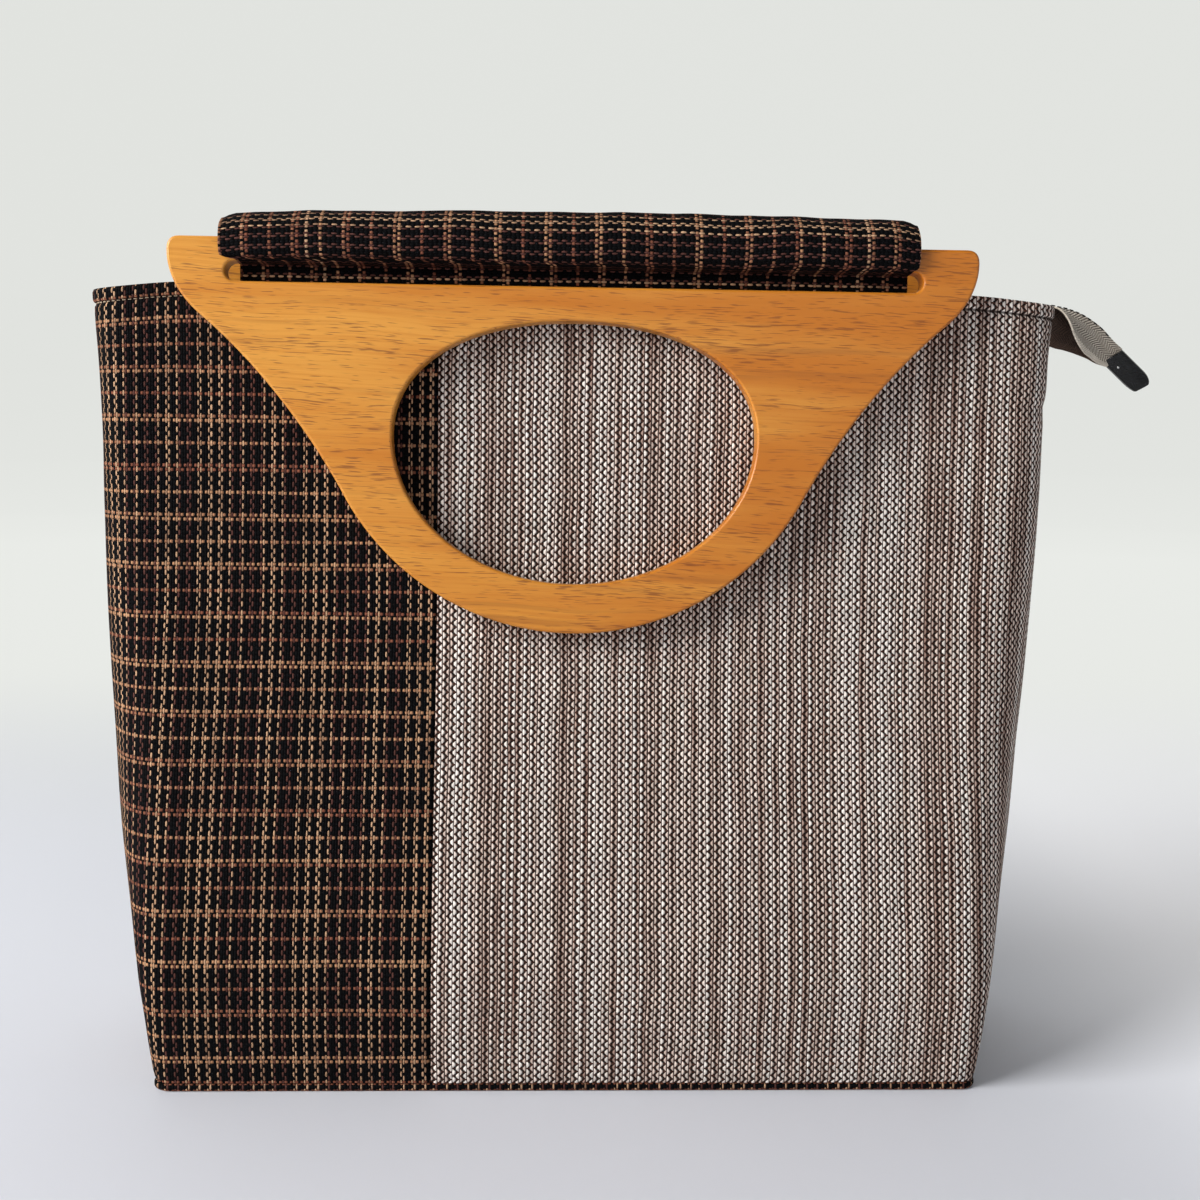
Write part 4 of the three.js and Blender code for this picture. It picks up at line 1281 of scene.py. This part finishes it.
def taupe_material(hem):
    """Pale, uneven lengthwise threads over dark cross threads."""
    colours = bpy.context.scene.bag_cloth
    finish = Finish("taupe_weave", 0.85, Specular_IOR_Level=0.1)
    pale, greige, brown, umber = (tuple(c) for c in (
        colours.pale, colours.greige, colours.brown, colours.umber))

    def warp(end, along):
        chance = finish.white(end)
        stripe = finish.noise(finish.vector(end, finish.math("MULTIPLY", along, 6.0), 0.0), 0.21, 2.0)
        slub = finish.noise(finish.vector(end, finish.math("MULTIPLY", along, 45.0), 7.0), 0.9, 1.0)
        level = finish.math("ADD", finish.math("MULTIPLY", chance, 0.5), finish.math(
            "MULTIPLY_ADD", stripe, 0.5, finish.math("MULTIPLY_ADD", slub, 0.45, -0.26)))
        colour, _ = finish.ramp(level, [(0.08, brown), (0.36, greige), (0.66, pale)])
        width = finish.span(finish.math("ADD", chance, slub), 0.4, 1.5, 0.58, 0.86)
        return colour, width

    def weft(pick, along):
        tone = finish.white(finish.math("ADD", pick, 0.71))
        dark = tuple(c * 0.5 for c in umber)
        return finish.mix(finish.span(tone, 0.0, 1.0, 0.0, 0.6), dark, umber)

    weave = Weave(colours.taupe_end, colours.taupe_pick, 0.62, 0.5, 0.26, 0.9, 0.0, 0.0, 0.24, 0.45)
    colour, height = plain_weave(finish, weave, warp, weft)
    colour = hem_shadow(finish, colour, hem)
    return finish.paint(colour, height, 0.42 * MM, 0.9)


def lining_material():
    """Plain brown backing with a fine rib."""
    colours = bpy.context.scene.bag_cloth
    finish = Finish("lining_cloth", 0.92)
    u, v, _ = finish.parts(finish.cloth())
    rib = finish.math("SINE", finish.math("MULTIPLY", finish.math("ADD", u, v), 9000.0))
    cloud = finish.noise(finish.cloth(), 70.0, 3.0)
    base = tuple(colours.lining)
    colour = finish.mix(cloud, tuple(c * 0.7 for c in base), base)
    return finish.paint(colour, rib, 0.1 * MM, 0.5)


def wood_material():
    """Varnished wood: long bands, fine fibre and short dark pores along the plate."""
    colours = bpy.context.scene.bag_wood
    finish = Finish("varnished_wood", 0.42, Coat_Weight=0.25, Coat_Roughness=0.2,
                    Specular_IOR_Level=0.35)
    light, deep, pore = (tuple(c) for c in (colours.light, colours.deep, colours.pore))
    place = finish.surface()
    x, y, z = finish.parts(place)
    wave = finish.noise(finish.stretched(place, 14.0, 14.0, 30.0), 1.0, 1.0)
    level = finish.math("ADD", z, finish.math("MULTIPLY_ADD", wave, 0.006,
                                              finish.math("MULTIPLY", x, 0.03)))
    grain = finish.vector(x, y, level)
    bands = finish.noise(finish.stretched(grain, 4.0, 40.0, 42.0), 1.2, 3.0, 0.6)
    toward_right = finish.span(x, -0.13, 0.14, 0.16, -0.14)
    fibre = finish.noise(finish.stretched(grain, 24.0, 1100.0, 1100.0), 1.0, 3.0, 0.65)
    short = finish.noise(finish.stretched(grain, 130.0, 2300.0, 2300.0), 1.0, 1.0)
    where = finish.noise(finish.stretched(grain, 12.0, 90.0, 90.0), 1.0, 2.0)
    pores = finish.span(finish.math("MULTIPLY_ADD", where, 0.32, short), 0.74, 0.87)
    streak = finish.noise(finish.stretched(grain, 7.0, 260.0, 260.0), 1.0, 2.0)
    colour = finish.mix(finish.span(finish.math("ADD", bands, toward_right), 0.3, 0.7), deep, light)
    colour = finish.mix(finish.span(fibre, 0.4, 0.75, 0.0, 0.5), colour, deep)
    colour = finish.mix(finish.span(streak, 0.58, 0.78, 0.0, 0.4), colour, pore)
    colour = finish.mix(finish.math("MULTIPLY", pores, 0.7), colour, pore)
    sink = finish.math("SUBTRACT", finish.math("MULTIPLY", fibre, 0.12), pores)
    low = finish.span(z, 0.16, 0.24, 0.6, 0.0)
    colour = finish.mix(low, colour, finish.mix(1.0, colour, (0.9, 0.78, 0.42), "MULTIPLY"))
    rough = finish.span(pores, 0.0, 1.0, 0.38, 0.6)
    return finish.paint(colour, sink, 0.06 * MM, 0.5, rough)


def tape_material(name, outer):
    """Herringbone tape with light edges and painted shade in its grooves, or its dark reverse, whose dark
    brown is partly the brown lining's own colour and partly painted shade.
    """
    colours = bpy.context.scene.bag_trim
    finish = Finish(name, 0.85, Sheen_Weight=0.1, Sheen_Roughness=0.5)
    base, rib_colour = (tuple(c) for c in (colours.tape, colours.tape_rib))
    # The reverse's dark brown is partly the brown lining's own colour and partly painted shade.
    if not outer:
        base = rib_colour = tuple(colours.tape_inside)
    u, v, _ = finish.parts(finish.cloth())
    column = 3.2 * MM
    fold = finish.math("PINGPONG", u, column)
    slope = finish.math("ADD", finish.math("MULTIPLY", fold, 1.1), v)
    pitch = 1.35 * MM
    line = finish.math("PINGPONG", slope, pitch / 2)
    ridge = finish.span(line, 0.1 * pitch, 0.45 * pitch)
    thread = finish.math("SINE", finish.math("MULTIPLY", u, 2 * math.pi / (0.55 * MM)))
    dots = finish.math("MULTIPLY_ADD", thread, 0.25, ridge)
    # Painted shade: the grooves between the raised threads are darkened to 0.45 of the ground colour.
    colour = finish.mix(finish.span(dots, 0.1, 1.1), tuple(c * 0.45 for c in base), rib_colour)
    edge = finish.span(finish.math("ABSOLUTE", u), 12.6 * MM, 13.6 * MM, 0.0, 0.75)
    colour = finish.mix(edge, colour, rib_colour)
    cloud = finish.noise(finish.cloth(), 160.0, 2.0)
    colour = finish.mix(finish.span(cloud, 0.3, 0.75, 0.0, 0.35), colour, base)
    return finish.paint(colour, dots, 0.16 * MM, 0.8)


def plastic_material(name, colour, roughness, coat):
    """Moulded black plastic with faint mould marks."""
    finish = Finish(name, roughness, Coat_Weight=coat, Coat_Roughness=0.08, Specular_IOR_Level=0.2)
    place = finish.surface()
    cloud = finish.noise(place, 900.0, 2.0)
    scratch = finish.noise(finish.stretched(place, 300.0, 2500.0, 2500.0), 1.0, 2.0)
    tone = finish.mix(finish.span(cloud, 0.3, 0.8), colour, tuple(c * 1.8 for c in colour))
    rough = finish.span(scratch, 0.2, 0.9, roughness * 0.8, roughness * 1.4)
    return finish.paint(tone, cloud, 0.03 * MM, 0.3, rough)


def metal_material(name, colour, roughness):
    """Dark plated metal with fine scratches."""
    finish = Finish(name, roughness, Metallic=1.0)
    place = finish.surface()
    scratch = finish.noise(finish.stretched(place, 400.0, 4000.0, 4000.0), 1.0, 2.0)
    tone = finish.mix(scratch, tuple(c * 0.6 for c in colour), colour)
    rough = finish.span(scratch, 0.2, 0.9, roughness * 0.7, roughness * 1.5)
    return finish.paint(tone, scratch, 0.01 * MM, 0.3, rough)


def stitch_material():
    """Twisted sewing thread."""
    finish = Finish("stitch_thread", 0.8, Sheen_Weight=0.1)
    cloud = finish.noise(finish.surface(), 2600.0, 1.0)
    colour = tuple(bpy.context.scene.bag_trim.stitch)
    return finish.paint(finish.mix(cloud, tuple(c * 0.5 for c in colour), colour),
                        cloud, 0.05 * MM, 0.5)


def stage_material():
    """Pale table that passes softly into pale paper behind it, which gives off light of its own. The table
    right of the bag has a painted glow that lightens the bag's shadow there.
    """
    finish = Finish("stage_paint", 0.6, Specular_IOR_Level=0.3, Emission_Strength=1.0)
    place = finish.surface()
    x, y, _ = finish.parts(place)
    cloud = finish.noise(place, 3.0, 2.0)
    table = finish.mix(cloud, linear(214, 216, 224), linear(218, 221, 229))
    # Painted light: the table glows to the right of the bag, lightening the bag's cast shadow there.
    shadow_lifting_glow = finish.math("MULTIPLY", finish.span(x, 0.14, 0.34), finish.span(y, -0.25, 0.0, 0.3, 1.0))
    behind = finish.span(y, 0.15, 0.9)
    finish.feed(finish.shader.inputs["Emission Color"], finish.mix(
        behind, finish.mix(shadow_lifting_glow, (0.0, 0.0, 0.0), (0.27, 0.26, 0.25)), linear(222, 224, 220)))
    return finish.paint(finish.mix(behind, table, (0.02, 0.02, 0.02)))


MATERIALS = {}


def material(name, make, *values, **options):
    """A material that is made on its first use."""
    if name not in MATERIALS:
        MATERIALS[name] = make(*values, **options)
    return MATERIALS[name]


CHECK_END_SHIFT = 61.9 * MM
CHECK_PICK_SHIFT = 0.0 * MM
SLEEVE_END_SHIFT = -9.4 * MM
SLEEVE_PICK_SHIFT = 0.0 * MM
BODY_LINES = ("thin", "strong", "tan", "dim", "tan", "dim", "tan", "tan", "dim", "dim")
SLEEVE_LINES = ("dim", "faint", "dim", "dim", "tan", "dim", "tan", "strong", "dim", "dim")


def check_cloth():
    return material("check", check_material, "dark_check_weave", CHECK_END_SHIFT, CHECK_PICK_SHIFT,
                    BODY_LINES, hem=hem_length())


def lining():
    return material("lining", lining_material)


# Operators

class BAG_OT_camera(bpy.types.Operator):
    """Set the camera at the height and angle of an eye in front of the bag"""

    bl_idname = "bag.camera"
    bl_label = "Camera"

    def execute(self, context):
        bpy.ops.object.camera_add()
        camera = context.active_object
        camera.name = "camera"
        camera.data.lens = 45
        camera.data.sensor_width = 36
        camera.data.dof.use_dof = False
        turn, dip, roll = (math.radians(a) for a in (2.2, 7.0, 0.84))
        ahead = Vector((math.sin(turn) * math.cos(dip), math.cos(turn) * math.cos(dip),
                        -math.sin(dip)))
        right = Vector((math.cos(turn), -math.sin(turn), 0))
        down = ahead.cross(right)
        tilted_right = right * math.cos(roll) - down * math.sin(roll)
        tilted_down = right * math.sin(roll) + down * math.cos(roll)
        axes = Matrix((tilted_right, -tilted_down, -ahead)).transposed().to_4x4()
        camera.matrix_world = Matrix.Translation((-0.0113, -0.585, 0.249)) @ axes
        context.scene.camera = camera
        return {"FINISHED"}


class BAG_OT_body(bpy.types.Operator):
    """Make the four cloth panels of the body and the stitches of their hem"""

    bl_idname = "bag.body"
    bl_label = "Body panels"

    def execute(self, context):
        taupe = material("taupe", taupe_material, hem_length())
        thread = material("thread", stitch_material)
        for name, right, back in (("front_dark", False, False), ("front_taupe", True, False),
                                  ("back_dark", False, True), ("back_taupe", True, True)):
            panel, rows = body_panel(f"{name}_cloth", right, back)
            wear(panel, taupe if right else check_cloth(), lining())
            settle(panel, "taupe_cloth" if right else "dark_check_cloth", f"{name}_panel")
            if not right:
                stitches = hem_stitches(rows, f"{name}_stitches", 2.0 + back)
                wear(stitches, thread)
                settle(stitches, "dark_check_cloth")
        return {"FINISHED"}


class BAG_OT_base(bpy.types.Operator):
    """Make the base of the bag"""

    bl_idname = "bag.base"
    bl_label = "Base"

    def execute(self, context):
        slab = base_slab()
        wear(slab, check_cloth())
        settle(slab, "dark_check_cloth", "base_panel")
        return {"FINISHED"}


class BAG_OT_handles(bpy.types.Operator):
    """Make the two wooden handles and their cloth sleeves"""

    bl_idname = "bag.handles"
    bl_label = "Handles"

    def execute(self, context):
        wood = material("wood", wood_material)
        cloth = material("sleeve", check_material, "sleeve_check_weave", SLEEVE_END_SHIFT,
                         SLEEVE_PICK_SHIFT, SLEEVE_LINES, loose_threads=(-58, 65))
        for suffix, turned in (("front", False), ("back", True)):
            plate = wooden_handle(suffix, turned)
            wear(plate, wood)
            settle(plate, "handle_wood", f"wooden_handle_{suffix}")
            sleeve, rows = handle_sleeve(suffix, turned)
            wear(sleeve, cloth)
            settle(sleeve, "dark_check_cloth", f"handle_sleeve_{suffix}")
        return {"FINISHED"}


class BAG_OT_zip(bpy.types.Operator):
    """Make the zip: tapes, teeth, slider, folded tail and end cap"""

    bl_idname = "bag.zip"
    bl_label = "Zip"

    def execute(self, context):
        colours = context.scene.bag_trim
        outer = material("tape", tape_material, "herringbone_tape", True)
        inner = material("tape inside", tape_material, "tape_reverse", False)
        black = material("teeth", plastic_material, "zip_nylon", tuple(colours.teeth), 0.45, 0.0)
        glossy = material("cap", plastic_material, "glossy_plastic", tuple(colours.plastic), 0.26, 0.3)
        metal = material("metal", metal_material, "plated_metal", tuple(colours.metal), 0.32)
        bright = material("bright", metal_material, "bright_metal", (0.8, 0.8, 0.78), 0.25)
        for side, suffix in ((-1, "front"), (1, "back")):
            tape, rows = zip_tape(side)
            wear(tape, outer)
            settle(tape, "zip_tape", f"zip_tape_{suffix}")
        tail, rows = zip_tail()
        wear(tail, outer, inner)
        settle(tail, "zip_tape", "zip_tail")
        for piece, finish, slot, nodes in (
            (zip_teeth(), black, "zip_teeth", ["zip_coil"]),
            (tail_teeth(), black, "zip_teeth", []),
            (zip_slider(), metal, "zip_metal", ["zip_slider"]),
            (end_cap(), glossy, "black_plastic", ["zip_end_cap"]),
            (cap_rivet(), bright, "zip_metal", []),
        ):
            wear(piece, finish)
            settle(piece, slot, *nodes)
        return {"FINISHED"}


class BAG_OT_stage(bpy.types.Operator):
    """Make the pale floor that rises into a far round backdrop, and the soft lights"""

    bl_idname = "bag.stage"
    bl_label = "Stage"

    def execute(self, context):
        fresh()
        bpy.ops.mesh.primitive_circle_add(vertices=96, radius=2.4, fill_type="NGON")
        floor = newest("stage_floor")
        rings = ((0.35, 0.03), (0.3, 0.1), (0.22, 0.2), (0.12, 0.3), (0.04, 0.6), (0.0, 1.6))
        radius = 2.4
        bpy.ops.object.mode_set(mode="EDIT")
        bpy.ops.mesh.select_all(action="DESELECT")
        bpy.ops.mesh.select_mode(type="EDGE")
        bpy.ops.mesh.select_all(action="SELECT")
        bpy.ops.mesh.region_to_loop()
        for out, rise in rings:
            bpy.ops.mesh.extrude_edges_move(TRANSFORM_OT_translate={"value": (0, 0, rise)})
            grow = (radius + out) / radius
            bpy.ops.transform.resize(value=(grow, grow, 1))
            radius += out
        bpy.ops.object.mode_set(mode="OBJECT")
        smooth(floor, 60)
        wear(floor, stage_material())
        target = Vector((0, 0, 0.16))
        for name, place, size, power, colour in (
            ("key_light", (-1.95, -0.95, 1.25), 1.3, 84, (1.0, 0.985, 0.96)),
            ("fill_light", (0.3, -2.2, 1.0), 1.4, 1.5, (0.95, 0.98, 1.0)),
            ("top_light", (-0.2, 0.6, 1.9), 1.2, 5, (1.0, 1.0, 1.0)),
        ):
            bpy.ops.object.light_add(type="AREA", location=place)
            light = context.active_object
            light.name = name
            light.data.size = size
            light.data.energy = power
            light.data.color = colour
            light.rotation_euler = (target - Vector(place)).to_track_quat("-Z", "Y").to_euler()
        world = bpy.data.worlds.new("pale_room")
        context.scene.world = world
        world.use_nodes = True
        background = world.node_tree.nodes["Background"]
        background.inputs["Color"].default_value = (0.93, 0.96, 1.0, 1.0)
        background.inputs["Strength"].default_value = 0.05
        context.scene.view_settings.view_transform = "Standard"
        return {"FINISHED"}


OPERATORS = (BAG_OT_camera, BAG_OT_base, BAG_OT_body, BAG_OT_handles, BAG_OT_zip, BAG_OT_stage)


class BAG_PT_panel(bpy.types.Panel):
    """Buttons that make the bag, and its sizes and colours"""

    bl_idname = "BAG_PT_panel"
    bl_label = "Wooden Handle Bag"
    bl_space_type = "VIEW_3D"
    bl_region_type = "UI"
    bl_category = "Bag"

    def draw(self, context):
        for operator in OPERATORS:
            self.layout.operator(operator.bl_idname)
        for group_name, group in GROUPS.items():
            box = self.layout.box()
            box.label(text=group.__doc__)
            for name in group.__annotations__:
                box.prop(getattr(context.scene, group_name), name)


CLASSES = (*GROUPS.values(), *OPERATORS, BAG_PT_panel)


def register():
    for made in CLASSES:
        bpy.utils.register_class(made)
    for name, group in GROUPS.items():
        setattr(bpy.types.Scene, name, PointerProperty(type=group))


def unregister():
    for name in GROUPS:
        delattr(bpy.types.Scene, name)
    for made in reversed(CLASSES):
        bpy.utils.unregister_class(made)


def main():
    """Builds the bag."""
    register()
    for make in (bpy.ops.bag.camera, bpy.ops.bag.base, bpy.ops.bag.body, bpy.ops.bag.handles,
                 bpy.ops.bag.zip, bpy.ops.bag.stage):
        make()


if __name__ == "__main__":
    main()
